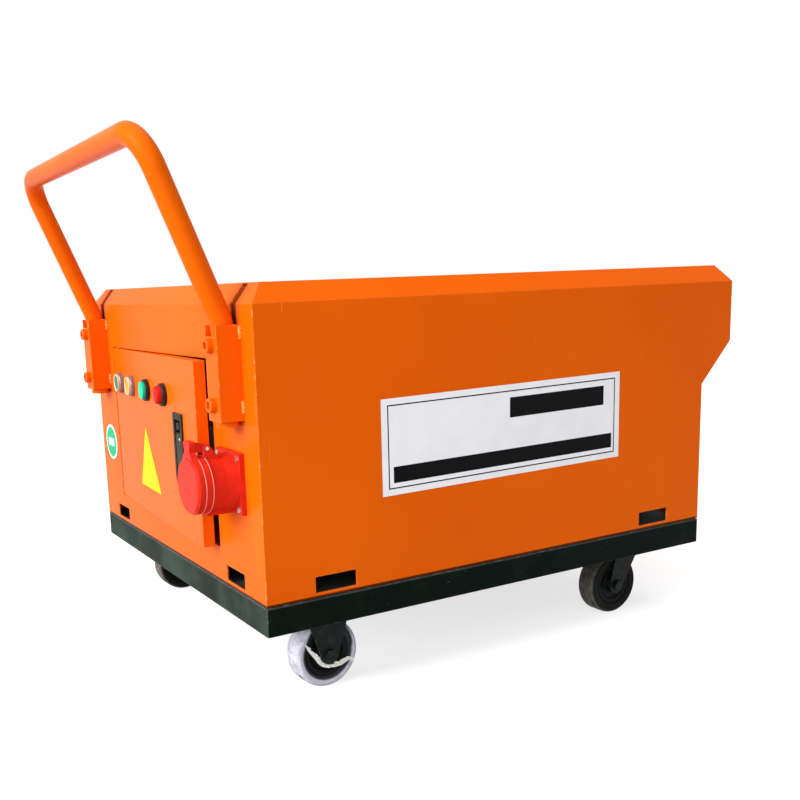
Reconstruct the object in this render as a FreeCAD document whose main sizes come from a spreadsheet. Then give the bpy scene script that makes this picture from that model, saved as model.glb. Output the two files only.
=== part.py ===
# Screw concrete pump on four casters: a sheet-metal body over a tube frame, with a feed
# hopper, a driven screw and delivery barrel, a control cabinet and a bent-tube push handle.
# Millimetres. -X is the control end, +X the hopper end, -Y the near side, the floor is z = 0.
import FreeCAD
import Part
import math
import os
import Sketcher

V = FreeCAD.Vector

# Driving dimensions
SIZES = {
    # base frame and deck
    "body_length": 1014.0,
    "body_width": 866.0,
    "frame_top": 190.0,
    "tube_size": 50.0,
    "tube_wall": 3.0,
    "outer_cross_offset": 275.0,
    "inner_cross_offset": 90.0,
    "deck_thickness": 3.0,
    "body_gap": 2.0,
    # sheet body, heights above the frame top
    "sheet": 3.0,
    "crease_height": 493.0,
    "rim_rise": 33.0,
    "rim_inset": 25.5,
    "rim_flange": 30.0,
    "overhang": 81.0,
    "overhang_start": 286.0,
    "overhang_full": 371.0,
    "side_slot_width": 80.0,
    "side_slot_inset": 92.0,
    "end_slot_width": 76.0,
    "end_slot_inset": 83.0,
    "slot_height": 28.0,
    "slot_bottom": 10.0,
    "relief_width": 22.0,
    "corner_angle_leg": 30.0,
    # handle and its brackets
    "handle_tube": 38.0,
    "handle_wall": 2.5,
    "handle_inset": 73.0,
    "handle_lean": 22.0,
    "handle_height": 758.0,
    "handle_bend_height": 461.0,
    "handle_low_radius": 90.0,
    "handle_top_radius": 62.0,
    "handle_leg_bottom": 296.0,
    "bracket_bottom": 306.0,
    "bracket_top": 461.0,
    "bracket_web_top": 443.0,
    "bracket_side_room": 2.0,
    "bracket_wall": 3.0,
    "tube_room": 0.4,
    "clamp_bolt_radius": 8.0,
    "clamp_head_radius": 12.0,
    "clamp_head_length": 11.0,
    "clamp_socket_radius": 8.0,
    "clamp_socket_depth": 8.0,
    "clamp_nut_length": 13.0,
    "clamp_bolt_low": 333.0,
    "clamp_bolt_high": 429.0,
    # door, cabinet and what is in it
    "door_near_inset": 183.0,
    "door_hinge_inset": 127.0,
    "door_bottom": 66.0,
    "door_top": 400.0,
    "door_gap": 2.0,
    "door_sheet": 2.0,
    "door_lip": 21.0,
    "door_ajar": 3.2,
    "hinge_depth": 8.0,
    "hinge_edge_room": 11.0,
    "hinge_edge_gap": 4.0,
    "hinge_pin_radius": 2.5,
    "pin_clearance": 0.05,
    "cabinet_depth": 120.0,
    "cabinet_margin": 12.0,
    "cabinet_wall": 2.0,
    "standoff": 14.0,
    "green_lamp_inset": 53.0,
    "yellow_lamp_inset": 143.0,
    "green_button_inset": 255.0,
    "red_button_inset": 369.0,
    "operator_height": 325.0,
    "bezel_radius": 22.0,
    "bezel_height": 9.0,
    "operator_hole": 15.0,
    "operator_depth": 44.0,
    "lens_radius": 16.0,
    "lens_height": 13.0,
    "button_radius": 17.5,
    "green_button_height": 15.0,
    "red_button_height": 21.0,
    "button_stem": 6.0,
    "button_travel": 4.0,
    "running_clearance": 0.3,
    "latch_inset": 104.0,
    "latch_bottom": 158.0,
    "latch_top": 298.0,
    "latch_width": 50.0,
    "latch_proud": 4.0,
    "latch_pocket": 12.0,
    "latch_wall": 4.0,
    "lever_width": 28.0,
    "lever_pivot_height": 257.0,
    "lever_thickness": 9.0,
    # power inlet
    "inlet_inset": 108.0,
    "inlet_height": 199.0,
    "inlet_flange_width": 98.0,
    "inlet_flange_height": 104.0,
    "inlet_flange": 9.0,
    "inlet_radius": 46.0,
    "inlet_wall": 4.0,
    "inlet_reach": 70.0,
    "lid_thickness": 13.0,
    "lid_radius": 49.0,
    "lid_pin_radius": 3.0,
    "lid_hinge_back": 19.0,
    "lid_hinge_rise": 16.0,
    "lid_tab_rise": 26.0,
    "lid_tab_width": 28.0,
    "lid_arm_width": 19.4,
    "inlet_ear": 6.0,
    "inlet_ear_gap": 20.0,
    "inlet_ear_reach": 42.0,
    "inlet_collar": 14.0,
    "inlet_keel_width": 30.0,
    "inlet_pin_circle": 22.0,
    "inlet_pin_radius": 4.0,
    "inlet_screw_pitch_y": 82.0,
    "inlet_screw_pitch_z": 86.0,
    # screw, barrel and outlet
    "axis_height": 150.0,
    "flight_radius": 60.0,
    "shaft_radius": 24.0,
    "flight_pitch": 96.0,
    "flight_thickness": 7.0,
    "flight_clearance": 2.5,
    "barrel_wall": 4.0,
    "trough_start": 130.0,
    "trough_end": 400.0,
    "trough_clearance": 6.0,
    "barrel_flange_radius": 95.0,
    "flange_thickness": 10.0,
    "flange_bolt_circle": 162.0,
    "flange_bolt_radius": 6.0,
    "bolt_head_height": 8.0,
    "barrel_end": 585.0,
    "outlet_bore_radius": 50.0,
    "outlet_wall": 5.0,
    "outlet_ring_height": 7.0,
    "outlet_ring_length": 12.0,
    "outlet_pipe_length": 30.0,
    # hopper
    "hopper_back": 20.0,
    "hopper_rim_room": 2.5,
    "hopper_sheet": 4.0,
    "hopper_floor": 248.0,
    "hopper_lip": 14.0,
    "saddle_thickness": 10.0,
    "grate_height": 30.0,
    "grate_bar": 5.0,
    "grate_drop": 35.0,
    "grate_side_room": 4.5,
    "grate_back_room": 6.0,
    "grate_pin_radius": 4.0,
    # bridge and motor cover
    "bridge_back": 72.0,
    "bridge_front": 24.0,
    "bridge_lip": 30.0,
    "cover_room": 2.0,
    "cover_lip": 16.0,
    "ledge_width": 14.0,
    "cover_sheet": 2.5,
    "cover_hinge_drop": 7.5,
    "cover_hinge_room": 10.0,
    "cover_hinge_inset": 157.5,
    "knuckle_radius": 5.5,
    # drive
    "bearing_length": 56.0,
    "bearing_radius": 60.0,
    "gearbox_length": 130.0,
    "gearbox_width": 170.0,
    "gearbox_foot": 92.0,
    "gearbox_foot_thickness": 14.0,
    "gearbox_foot_width": 24.0,
    "gearbox_bolt_out": 12.0,
    "motor_flange": 12.0,
    "motor_length": 236.0,
    "motor_radius": 92.0,
    "motor_fin": 12.0,
    "fan_cowl_length": 48.0,
    "motor_shaft_radius": 10.0,
    # casters
    "wheel_radius": 62.5,
    "tread_width": 46.0,
    "hub_radius": 43.0,
    "caster_inset": 83.0,
    "fixed_caster_inset": 143.0,
    "swivel_axis_inset": 135.0,
    "caster_trail": 40.0,
    "axle_radius": 6.0,
    "fork_gap": 3.0,
    "fork_wall": 4.0,
    "fork_end_radius": 18.0,
    "fork_top_width": 88.0,
    "caster_height": 163.0,
    "caster_plate": 5.0,
    "crown_height": 139.5,
    "race_radius": 26.0,
    "mount_plate": 6.0,
    "mount_width": 110.0,
    "caster_bolt_radius": 5.0,
    "caster_bolt_half_length": 40.0,
    "caster_bolt_half_width": 11.0,
    "caster_plate_half_length": 52.0,
    "hexagon_share": 1.8,
}

doc = FreeCAD.newDocument("screw_concrete_pump")
sheet = doc.addObject("Spreadsheet::Sheet", "Sizes")
for row, (alias, value) in enumerate(SIZES.items(), start=1):
    sheet.set(f"A{row}", alias.replace("_", " "))
    sheet.set(f"B{row}", str(value))
    sheet.setAlias(f"B{row}", alias)
doc.recompute()


class Size:
    """A size as its number and as the formula that gives it from the sheet."""

    def __init__(self, value, text):
        self.value = value
        self.text = text

    def __float__(self):
        return float(self.value)

    def __add__(self, other):
        return Size(self.value + float(other), f"({self.text} + {formula(other)})")

    def __radd__(self, other):
        return Size(float(other) + self.value, f"({formula(other)} + {self.text})")

    def __sub__(self, other):
        return Size(self.value - float(other), f"({self.text} - {formula(other)})")

    def __rsub__(self, other):
        return Size(float(other) - self.value, f"({formula(other)} - {self.text})")

    def __mul__(self, other):
        return Size(self.value * float(other), f"({self.text} * {formula(other)})")

    def __rmul__(self, other):
        return Size(float(other) * self.value, f"({formula(other)} * {self.text})")

    def __truediv__(self, other):
        return Size(self.value / float(other), f"({self.text} / {formula(other)})")

    def __neg__(self):
        return Size(-self.value, f"(-1 * {self.text})")


def formula(number):
    return number.text if isinstance(number, Size) else f"({float(number)})"


def sine(angle):
    return Size(math.sin(math.radians(float(angle))), f"sin({formula(angle)} * 1 deg)")


def cosine(angle):
    return Size(math.cos(math.radians(float(angle))), f"cos({formula(angle)} * 1 deg)")


def root(square):
    return Size(math.sqrt(float(square)), f"sqrt({formula(square)})")


class Named:
    """The sheet's cells by alias."""


s = Named()
for alias in SIZES:
    setattr(s, alias, Size(float(getattr(sheet, alias)), f"Sizes.{alias}"))

NODES = {}


def bind(obj, **values):
    for name, value in values.items():
        setattr(obj, name, float(value))
        if isinstance(value, Size):
            obj.setExpression(name, value.text)


def place(obj, x=0, y=0, z=0, turn=None, angle=0):
    rotation = FreeCAD.Rotation(turn or V(0, 0, 1), float(angle))
    obj.Placement = FreeCAD.Placement(V(float(x), float(y), float(z)), rotation)
    for letter, value in (("x", x), ("y", y), ("z", z)):
        if isinstance(value, Size):
            obj.setExpression(f"Placement.Base.{letter}", value.text)
    if isinstance(angle, Size):
        obj.setExpression("Placement.Rotation.Angle", angle.text)
    return obj


def box(name, xs, ys, zs):
    """A block between two places along each axis."""
    obj = doc.addObject("Part::Box", name)
    bind(obj, Length=xs[1] - xs[0], Width=ys[1] - ys[0], Height=zs[1] - zs[0])
    return place(obj, xs[0], ys[0], zs[0])


ALONG = {"x": (V(0, 1, 0), 90), "y": (V(1, 0, 0), -90), "z": (V(0, 0, 1), 0)}


def rod(name, radius, axis, x, y, z, length):
    """A cylinder that starts at a point and runs along +X, +Y or +Z."""
    obj = doc.addObject("Part::Cylinder", name)
    bind(obj, Radius=radius, Height=length)
    return place(obj, x, y, z, *ALONG[axis])


def hexagon(name, radius, axis, x, y, z, length):
    """A bolt head or nut."""
    obj = doc.addObject("Part::Prism", name)
    obj.Polygon = 6
    bind(obj, Circumradius=radius, Height=length)
    return place(obj, x, y, z, *ALONG[axis])


def cone(name, radius, end_radius, axis, x, y, z, length):
    obj = doc.addObject("Part::Cone", name)
    bind(obj, Radius1=radius, Radius2=end_radius, Height=length)
    return place(obj, x, y, z, *ALONG[axis])


def frustum(name, low, high, z0, z1):
    """A block whose low and high rectangles, each (x0, x1, y0, y1), may differ."""
    obj = doc.addObject("Part::Wedge", name)
    bind(obj, Xmin=low[0], Xmax=low[1], Zmin=-1 * low[3], Zmax=-1 * low[2], Ymin=z0,
         X2min=high[0], X2max=high[1], Z2min=-1 * high[3], Z2max=-1 * high[2], Ymax=z1)
    return place(obj, turn=V(1, 0, 0), angle=90)


def fuse(name, *shapes):
    obj = doc.addObject("Part::MultiFuse", name)
    obj.Shapes = list(shapes)
    return obj


def cut(name, base, *tools):
    obj = doc.addObject("Part::Cut", name)
    obj.Base = base
    obj.Tool = tools[0] if len(tools) == 1 else fuse(name + "_cuts", *tools)
    return obj


def common(name, one, other):
    obj = doc.addObject("Part::Common", name)
    obj.Base = one
    obj.Tool = other
    return obj


def group(name, *shapes):
    obj = doc.addObject("Part::Compound", name)
    obj.Links = list(shapes)
    return obj


def node(label, obj):
    """Marks an object as a sub-part that is written to its own file."""
    obj.Label = label
    NODES[label] = obj
    return obj


def plane(body, role):
    return [f for f in body.Origin.OriginFeatures if f.Role == role][0]


def draw(sketch, outline):
    """Adds a closed outline of corners, or a circle given as (x, y, radius), pinned to the sheet."""
    first = sketch.GeometryCount
    rules = []
    bound = []
    if not isinstance(outline[0], tuple):
        x, y, radius = outline
        sketch.addGeometry(Part.Circle(V(float(x), float(y), 0), V(0, 0, 1), float(radius)))
        for kind, size, where in (("DistanceX", x, (-1, 1, first, 3)),
                                  ("DistanceY", y, (-1, 1, first, 3)),
                                  ("Radius", radius, (first,))):
            rules.append(Sketcher.Constraint(kind, *where, float(size)))
            bound.append(size)
    else:
        count = len(outline)
        for i, (x, y) in enumerate(outline):
            x2, y2 = outline[(i + 1) % count]
            sketch.addGeometry(Part.LineSegment(V(float(x), float(y), 0), V(float(x2), float(y2), 0)))
        for i in range(count):
            rules.append(Sketcher.Constraint("Coincident", first + i, 2, first + (i + 1) % count, 1))
            bound.append(None)
        for i, (x, y) in enumerate(outline):
            for kind, size in (("DistanceX", x), ("DistanceY", y)):
                rules.append(Sketcher.Constraint(kind, -1, 1, first + i, 1, float(size)))
                bound.append(size)
    start = sketch.ConstraintCount
    sketch.addConstraint(rules)
    for i, size in enumerate(bound):
        if isinstance(size, Size):
            sketch.setExpression(f"Constraints[{start + i}]", size.text)


def sketch_on(body, role, offset, *outlines):
    sketch = body.newObject("Sketcher::SketchObject", body.Name + "_sketch")
    sketch.AttachmentSupport = [(plane(body, role), "")]
    sketch.MapMode = "FlatFace"
    sketch.AttachmentOffset = FreeCAD.Placement(V(0, 0, float(offset)), FreeCAD.Rotation())
    if isinstance(offset, Size):
        sketch.setExpression("AttachmentOffset.Base.z", offset.text)
    for outline in outlines:
        draw(sketch, outline)
    return sketch


def plate(name, role, start, end, *outlines):
    """A padded sketch between two places along its normal: XY along Z, XZ along Y, YZ along X.
    The first outline is the edge and the others are holes."""
    body = doc.addObject("PartDesign::Body", name)
    offset = -1 * end if role == "XZ" else start
    sketch = sketch_on(body, role + "_Plane", offset, *outlines)
    pad = body.newObject("PartDesign::Pad", name + "_pad")
    pad.Profile = sketch
    bind(pad, Length=end - start)
    sketch.Visibility = False
    return body


def turned(name, profile, axis="z", x=0, y=0, z=0):
    """A revolved profile of (radius, height) corners, its axis turned to +X, +Y or +Z."""
    body = doc.addObject("PartDesign::Body", name)
    sketch = sketch_on(body, "XZ_Plane", 0, profile)
    turn = body.newObject("PartDesign::Revolution", name + "_turn")
    turn.Profile = sketch
    turn.ReferenceAxis = (sketch, ["V_Axis"])
    turn.Angle = 360
    return place(body, x, y, z, *ALONG[axis])


def mirrored(name, obj):
    """The same piece on the other side of the XZ plane."""
    twin = doc.addObject("Part::Mirroring", name)
    twin.Source = obj
    twin.Normal = V(0, 1, 0)
    return twin


# Places that several pieces share
half_length = s.body_length / 2
half_width = s.body_width / 2
wall_x = -1 * half_length
hopper_x = half_length + s.overhang
frame_bottom = s.frame_top - s.tube_size
deck_top = s.frame_top + s.deck_thickness
panel_bottom = s.frame_top + s.body_gap
crease = s.frame_top + s.crease_height
rim_top = crease + s.rim_rise
flange_bottom = rim_top - s.sheet
axis_z = s.frame_top + s.axis_height
caster_y = half_width - s.caster_inset
handle_y = half_width - s.handle_inset
door_near_y = s.door_near_inset - half_width
door_hinge_y = half_width - s.door_hinge_inset
latch_y = door_near_y + s.latch_inset
inlet_y = s.inlet_inset - half_width


def above(height):
    """A height above the frame top, as a height above the floor."""
    return s.frame_top + height


# Base frame: mitred square tubes, with cross members and plates for the casters
def rail(name, half_run, out, along_x):
    """One outer tube of the frame, mitred at both ends, with its hollow."""
    inner = s.tube_size
    wall = s.tube_wall

    def ring(label, near, far, low, high):
        ends = [(-1 * (half_run - near), out - near), (half_run - near, out - near),
                (half_run - far, out - far), (-1 * (half_run - far), out - far)]
        corners = ends if along_x else [(b, a) for a, b in ends]
        return plate(label, "XY", low, high, *[corners])

    outer = ring(name + "_outer", 0 * inner, inner, frame_bottom, s.frame_top)
    hollow = ring(name + "_hollow", wall, inner - wall, frame_bottom + wall, s.frame_top - wall)
    return cut(name, outer, hollow)


far_rail = rail("far_rail", half_length, half_width, True)
node("side_rails", group("side_rail_pair", far_rail, mirrored("near_rail", far_rail)))
hopper_rail = rail("hopper_end_rail", half_width, half_length, False)
control_rail = doc.addObject("Part::Mirroring", "control_end_rail")
control_rail.Source = hopper_rail
control_rail.Normal = V(1, 0, 0)
node("end_rails", group("end_rail_pair", hopper_rail, control_rail))

rail_inner = half_width - s.tube_size
end_inner = half_length - s.tube_size
cross_members = []
for label, centre in (("control", -1 * s.outer_cross_offset), ("drive", -1 * s.inner_cross_offset),
                      ("trough", s.inner_cross_offset), ("hopper", s.outer_cross_offset)):
    half_tube = s.tube_size / 2
    outer = box(label + "_cross_outer", (centre - half_tube, centre + half_tube),
                (-1 * rail_inner, rail_inner), (frame_bottom, s.frame_top))
    hollow = box(label + "_cross_hollow",
                 (centre - half_tube + s.tube_wall, centre + half_tube - s.tube_wall),
                 (-1 * rail_inner, rail_inner),
                 (frame_bottom + s.tube_wall, s.frame_top - s.tube_wall))
    cross_members.append(cut(label + "_cross", outer, hollow))
node("cross_members", group("cross_member_set", *cross_members))

node("deck_plate", box("deck_sheet", (wall_x + s.sheet, half_length - s.sheet),
                       (-1 * (half_width - s.sheet), half_width - s.sheet),
                       (s.frame_top, deck_top)))

# Casters: fixed pair at the control end, swivelling pair at the hopper end
fixed_x = -1 * (half_length - s.fixed_caster_inset)
swivel_x = half_length - s.swivel_axis_inset
trailing_x = swivel_x - s.caster_trail
cross_face = s.outer_cross_offset + s.tube_size / 2
top_plate_low = s.caster_height - s.caster_plate
mounts = []
bolts = []
caster_holes = {}
for end, low, high, centre in (("control", -1 * end_inner, -1 * cross_face, fixed_x),
                               ("hopper", cross_face, end_inner, swivel_x)):
    for side, sign in (("near", -1), ("far", 1)):
        edge = sign * rail_inner
        inner = sign * (rail_inner - s.mount_width)
        label = f"{end}_{side}"
        plate_top = s.caster_height + s.mount_plate
        blank = box(label + "_mount_blank", (low, high), (edge, inner) if sign < 0 else (inner, edge),
                    (s.caster_height, plate_top))
        holes = []
        for i, (dx, dy) in enumerate(((-1, -1), (-1, 1), (1, -1), (1, 1))):
            x = centre + dx * s.caster_bolt_half_length
            y = sign * caster_y + dy * s.caster_bolt_half_width
            low_face = top_plate_low - s.bolt_head_height
            shank = rod(f"{label}_bolt_{i}", s.caster_bolt_radius, "z", x, y, low_face,
                        plate_top + s.bolt_head_height - low_face)
            head = hexagon(f"{label}_bolt_head_{i}", s.hexagon_share * s.caster_bolt_radius, "z", x, y,
                           low_face, s.bolt_head_height)
            nut = hexagon(f"{label}_bolt_nut_{i}", s.hexagon_share * s.caster_bolt_radius, "z", x, y,
                          plate_top, s.bolt_head_height)
            bolts.append(fuse(f"{label}_fastener_{i}", shank, head, nut))
            holes.append(rod(f"{label}_bolt_hole_{i}", s.caster_bolt_radius, "z", x, y, low_face,
                             plate_top + s.bolt_head_height - low_face))
        caster_holes[label] = fuse(label + "_bolt_holes", *holes)
        mounts.append(cut(label + "_mount", blank, caster_holes[label]))
node("caster_mounts", group("caster_mount_set", *mounts))
machine_bolts = list(bolts)

leg_inner = s.tread_width / 2 + s.fork_gap
leg_outer = leg_inner + s.fork_wall


def fork(name, axle_x, centre_y, top_x, top_z, top_width):
    """Two tapered fork legs that meet the axle in a round end."""
    legs = []
    half = top_width / 2
    for i, (low, high) in enumerate(((-1 * leg_outer, -1 * leg_inner), (leg_inner, leg_outer))):
        blade = plate(f"{name}_blade_{i}", "XZ", centre_y + low, centre_y + high,
                      [(axle_x - s.fork_end_radius, s.wheel_radius),
                       (axle_x + s.fork_end_radius, s.wheel_radius),
                       (top_x + half, top_z - s.fork_end_radius), (top_x + half, top_z),
                       (top_x - half, top_z), (top_x - half, top_z - s.fork_end_radius)])
        end = rod(f"{name}_end_{i}", s.fork_end_radius, "y", axle_x, centre_y + low,
                  s.wheel_radius, s.fork_wall)
        legs += [blade, end]
    return legs


def axle(name, axle_x, centre_y):
    reach = leg_outer + 7
    shank = rod(name + "_shank", s.axle_radius, "y", axle_x, centre_y - reach, s.wheel_radius, 2 * reach)
    head = hexagon(name + "_head", s.hexagon_share * s.axle_radius, "y", axle_x, centre_y - reach,
                   s.wheel_radius, 7)
    nut = hexagon(name + "_nut", s.hexagon_share * s.axle_radius, "y", axle_x, centre_y + leg_outer,
                  s.wheel_radius, 7)
    return fuse(name, shank, head, nut)


def axle_hole(name, axle_x, centre_y):
    return rod(name, s.axle_radius, "y", axle_x, centre_y - 2 * leg_outer, s.wheel_radius, 4 * leg_outer)


fixed_forks = []
fixed_axles = []
for side, sign in (("near", -1), ("far", 1)):
    y = sign * caster_y
    label = f"fixed_{side}"
    top = box(label + "_top", (fixed_x - s.caster_plate_half_length, fixed_x + s.caster_plate_half_length),
              (y - leg_outer, y + leg_outer), (top_plate_low, s.caster_height))
    legs = fork(label, fixed_x, y, fixed_x, top_plate_low, s.fork_top_width)
    body = fuse(label + "_welded", top, *legs)
    fixed_forks.append(cut(label + "_fork", body, axle_hole(label + "_hole", fixed_x, y),
                           caster_holes[f"control_{side}"]))
    fixed_axles.append(axle(label + "_axle", fixed_x, y))
node("fixed_forks", group("fixed_fork_pair", *fixed_forks))
node("fixed_axles", group("fixed_axle_pair", *fixed_axles))

swivel_plates = []
for side, sign in (("near", -1), ("far", 1)):
    y = sign * caster_y
    label = f"swivel_{side}"
    reach = s.caster_plate_half_length
    top = box(label + "_plate", (swivel_x - reach, swivel_x + reach), (y - leg_outer, y + leg_outer),
              (top_plate_low, s.caster_height))
    race = rod(label + "_race", s.race_radius, "z", swivel_x, y, top_plate_low - 8, 8)
    pin = rod(label + "_kingpin", s.axle_radius, "z", swivel_x, y, s.crown_height - 6,
              s.caster_height - s.crown_height + 6)
    nut = rod(label + "_kingpin_head", 1.6 * s.axle_radius, "z", swivel_x, y, s.crown_height - 6.5, 2)
    swivel_plates.append(cut(label + "_top", fuse(label + "_top_weld", top, race, pin, nut),
                             caster_holes[f"hopper_{side}"]))
    crown_low = s.crown_height - s.fork_wall
    crown = box(label + "_crown", (swivel_x - s.caster_trail - 10, swivel_x + 30),
                (y - leg_outer, y + leg_outer), (crown_low, s.crown_height))
    lower_race = rod(label + "_lower_race", s.race_radius - 2, "z", swivel_x, y, crown_low,
                     top_plate_low - 8 - s.running_clearance - crown_low)
    bore = rod(label + "_bore", s.axle_radius + s.pin_clearance, "z", swivel_x, y, crown_low - 1, 40)
    recess = rod(label + "_recess", 1.6 * s.axle_radius + 1, "z", swivel_x, y, crown_low - 1, 2)
    legs = fork(label, trailing_x, y, swivel_x - 15, s.crown_height, s.fork_top_width - 30)
    welded = fuse(label + "_welded", crown, lower_race, *legs)
    node(f"swivel_fork_{side}", cut(label + "_fork", welded, bore, recess,
                                    axle_hole(label + "_hole", trailing_x, y)))
    node(f"swivel_axle_{side}", axle(label + "_axle", trailing_x, y))
node("swivel_plates", group("swivel_plate_pair", *swivel_plates))


def wheel(name, x, y):
    """A tyre with rounded shoulders on a dished hub with a bored boss."""
    half = s.tread_width / 2
    shoulder = 6
    bore = s.axle_radius + s.pin_clearance
    tyre = [(s.hub_radius, -1 * half + 3), (s.wheel_radius - shoulder, -1 * half),
            (s.wheel_radius - 2, -1 * half + 2), (s.wheel_radius, -1 * half + shoulder),
            (s.wheel_radius, half - shoulder), (s.wheel_radius - 2, half - 2),
            (s.wheel_radius - shoulder, half), (s.hub_radius, half - 3)]
    dish = half - 11
    hub = [(bore, -1 * half - 1), (17, -1 * half - 1), (20, -1 * dish), (33, -1 * dish),
           (36, -1 * half + 5), (s.hub_radius, -1 * half + 5), (s.hub_radius, half - 5), (36, half - 5),
           (33, dish), (20, dish), (17, half + 1), (bore, half + 1)]
    return group(name, turned(name + "_tyre", tyre, "y", x, y, s.wheel_radius),
                 turned(name + "_hub", hub, "y", x, y, s.wheel_radius))


for kind, x in (("fixed", fixed_x), ("swivel", trailing_x)):
    for side, sign in (("near", -1), ("far", 1)):
        node(f"wheel_{kind}_{side}", wheel(f"{kind}_{side}_wheel", x, sign * caster_y))

# Sheet body: a sloping rim with a turned-in flange, cut into four at its mitred corners
slope_run = s.sheet * root(s.rim_rise * s.rim_rise + s.rim_inset * s.rim_inset) / s.rim_rise


def inset_rectangle(by):
    return (wall_x + by, hopper_x - by, -1 * (half_width - by), half_width - by)


def rim():
    outer = frustum("rim_outer", inset_rectangle(0 * s.sheet), inset_rectangle(s.rim_inset), crease,
                    rim_top)
    inner = frustum("rim_inner", inset_rectangle(slope_run), inset_rectangle(s.rim_inset + slope_run),
                    crease, rim_top)
    x0, x1, y0, y1 = inset_rectangle(s.rim_inset + s.sheet)
    x2, x3, y2, y3 = inset_rectangle(s.rim_inset + s.rim_flange)
    ring = box("rim_flange_outer", (x0, x1), (y0, y1), (flange_bottom, rim_top))
    mouth = box("rim_mouth", (x2, x3), (y2, y3), (flange_bottom, rim_top))
    return fuse("rim_shell", cut("rim_slope", outer, inner), cut("rim_ring", ring, mouth))


rim_shell = rim()
mitre = s.rim_inset + s.rim_flange + s.tube_size


def rim_part(name, low, high):
    """The rim's stretch inside a mitre block, given as its low and high (x0, x1, y0, y1) faces."""
    block = plate(name + "_mitre", "XY", crease, rim_top, [*low, *high])
    return common(name, rim_shell, block)


def side_panel(side, sign):
    """Flat wall with the overhang's outline and two strap slots, below its stretch of rim."""
    outer = sign * half_width
    inner = sign * (half_width - s.sheet)
    low, high = (outer, inner) if sign < 0 else (inner, outer)
    slot_low = above(s.slot_bottom)
    slot_high = slot_low + s.slot_height
    outline = [(wall_x, panel_bottom), (half_length, panel_bottom), (half_length, above(s.overhang_start)),
               (hopper_x, above(s.overhang_full)), (hopper_x, crease), (wall_x, crease)]
    slots = []
    for x in (wall_x + s.side_slot_inset, half_length - s.side_slot_inset - s.side_slot_width):
        slots.append([(x, slot_low), (x + s.side_slot_width, slot_low),
                      (x + s.side_slot_width, slot_high), (x, slot_high)])
    wall = plate(f"{side}_wall", "XZ", low, high, outline, *slots)
    edge = sign * half_width
    turned_in = sign * (half_width - mitre)
    strip = rim_part(f"{side}_rim", [(wall_x, edge), (hopper_x, edge)],
                     [(hopper_x - mitre, turned_in), (wall_x + mitre, turned_in)])
    return node(f"side_panel_{side}", fuse(f"{side}_side", wall, strip))


side_panel("near", -1)
side_panel("far", 1)

inside = half_width - s.sheet


def rectangle(low_a, high_a, low_b, high_b):
    return [(low_a, low_b), (high_a, low_b), (high_a, high_b), (low_a, high_b)]


def end_slots():
    low = above(s.slot_bottom)
    high = low + s.slot_height
    out = half_width - s.end_slot_inset
    return [rectangle(out - s.end_slot_width, out, low, high),
            rectangle(-1 * out, s.end_slot_width - out, low, high)]


door_opening = rectangle(door_near_y, door_hinge_y, above(s.door_bottom), above(s.door_top))
inlet_z = above(s.inlet_height)
control_wall = plate("control_wall", "YZ", wall_x, wall_x + s.sheet,
                     rectangle(-1 * inside, inside, panel_bottom, crease), door_opening,
                     (inlet_y, inlet_z, s.inlet_radius - s.inlet_wall), *end_slots())
control_rim = rim_part("control_rim",
                       [(wall_x, -1 * half_width), (wall_x + mitre, -1 * (half_width - mitre))],
                       [(wall_x + mitre, half_width - mitre), (wall_x, half_width)])
reliefs = []
relief_bottom = above(s.bracket_top - s.bracket_wall)
for side, sign in (("near", -1), ("far", 1)):
    centre = sign * handle_y
    reliefs.append(box(f"{side}_relief", (wall_x - 1, wall_x + s.rim_inset + s.sheet),
                       (centre - s.relief_width / 2, centre + s.relief_width / 2),
                       (relief_bottom, rim_top + 1)))
control_blank = fuse("control_blank", control_wall, control_rim)

# Hopper end: vertical, slanting out under the overhang, vertical again, with its rim
pitch_run = root(s.overhang * s.overhang
                 + (s.overhang_full - s.overhang_start) * (s.overhang_full - s.overhang_start))
slant_back = s.sheet * (pitch_run - s.overhang) / (s.overhang_full - s.overhang_start)
hopper_wall = plate("hopper_wall", "XZ", -1 * inside, inside,
                    [(half_length - s.sheet, panel_bottom), (half_length, panel_bottom),
                     (half_length, above(s.overhang_start)), (hopper_x, above(s.overhang_full)),
                     (hopper_x, crease), (hopper_x - s.sheet, crease),
                     (hopper_x - s.sheet, above(s.overhang_full) + slant_back),
                     (half_length - s.sheet, above(s.overhang_start) + slant_back)])
barrel_radius = s.flight_radius + s.flight_clearance + s.barrel_wall
barrel_hole = rod("barrel_hole", s.barrel_flange_radius + s.door_gap, "x",
                  half_length - 2 * s.sheet, 0, axis_z, 3 * s.sheet)
hopper_rim = rim_part("hopper_rim", [(hopper_x, -1 * half_width), (hopper_x, half_width)],
                      [(hopper_x - mitre, half_width - mitre),
                       (hopper_x - mitre, -1 * (half_width - mitre))])
hopper_slots = []
for i, outline in enumerate(end_slots()):
    hopper_slots.append(box(f"hopper_slot_{i}", (half_length - 2 * s.sheet, half_length + s.sheet),
                            (outline[0][0], outline[1][0]), (outline[0][1], outline[2][1])))
node("hopper_end_panel", cut("hopper_end", fuse("hopper_blank", hopper_wall, hopper_rim),
                             barrel_hole, *hopper_slots))

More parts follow.
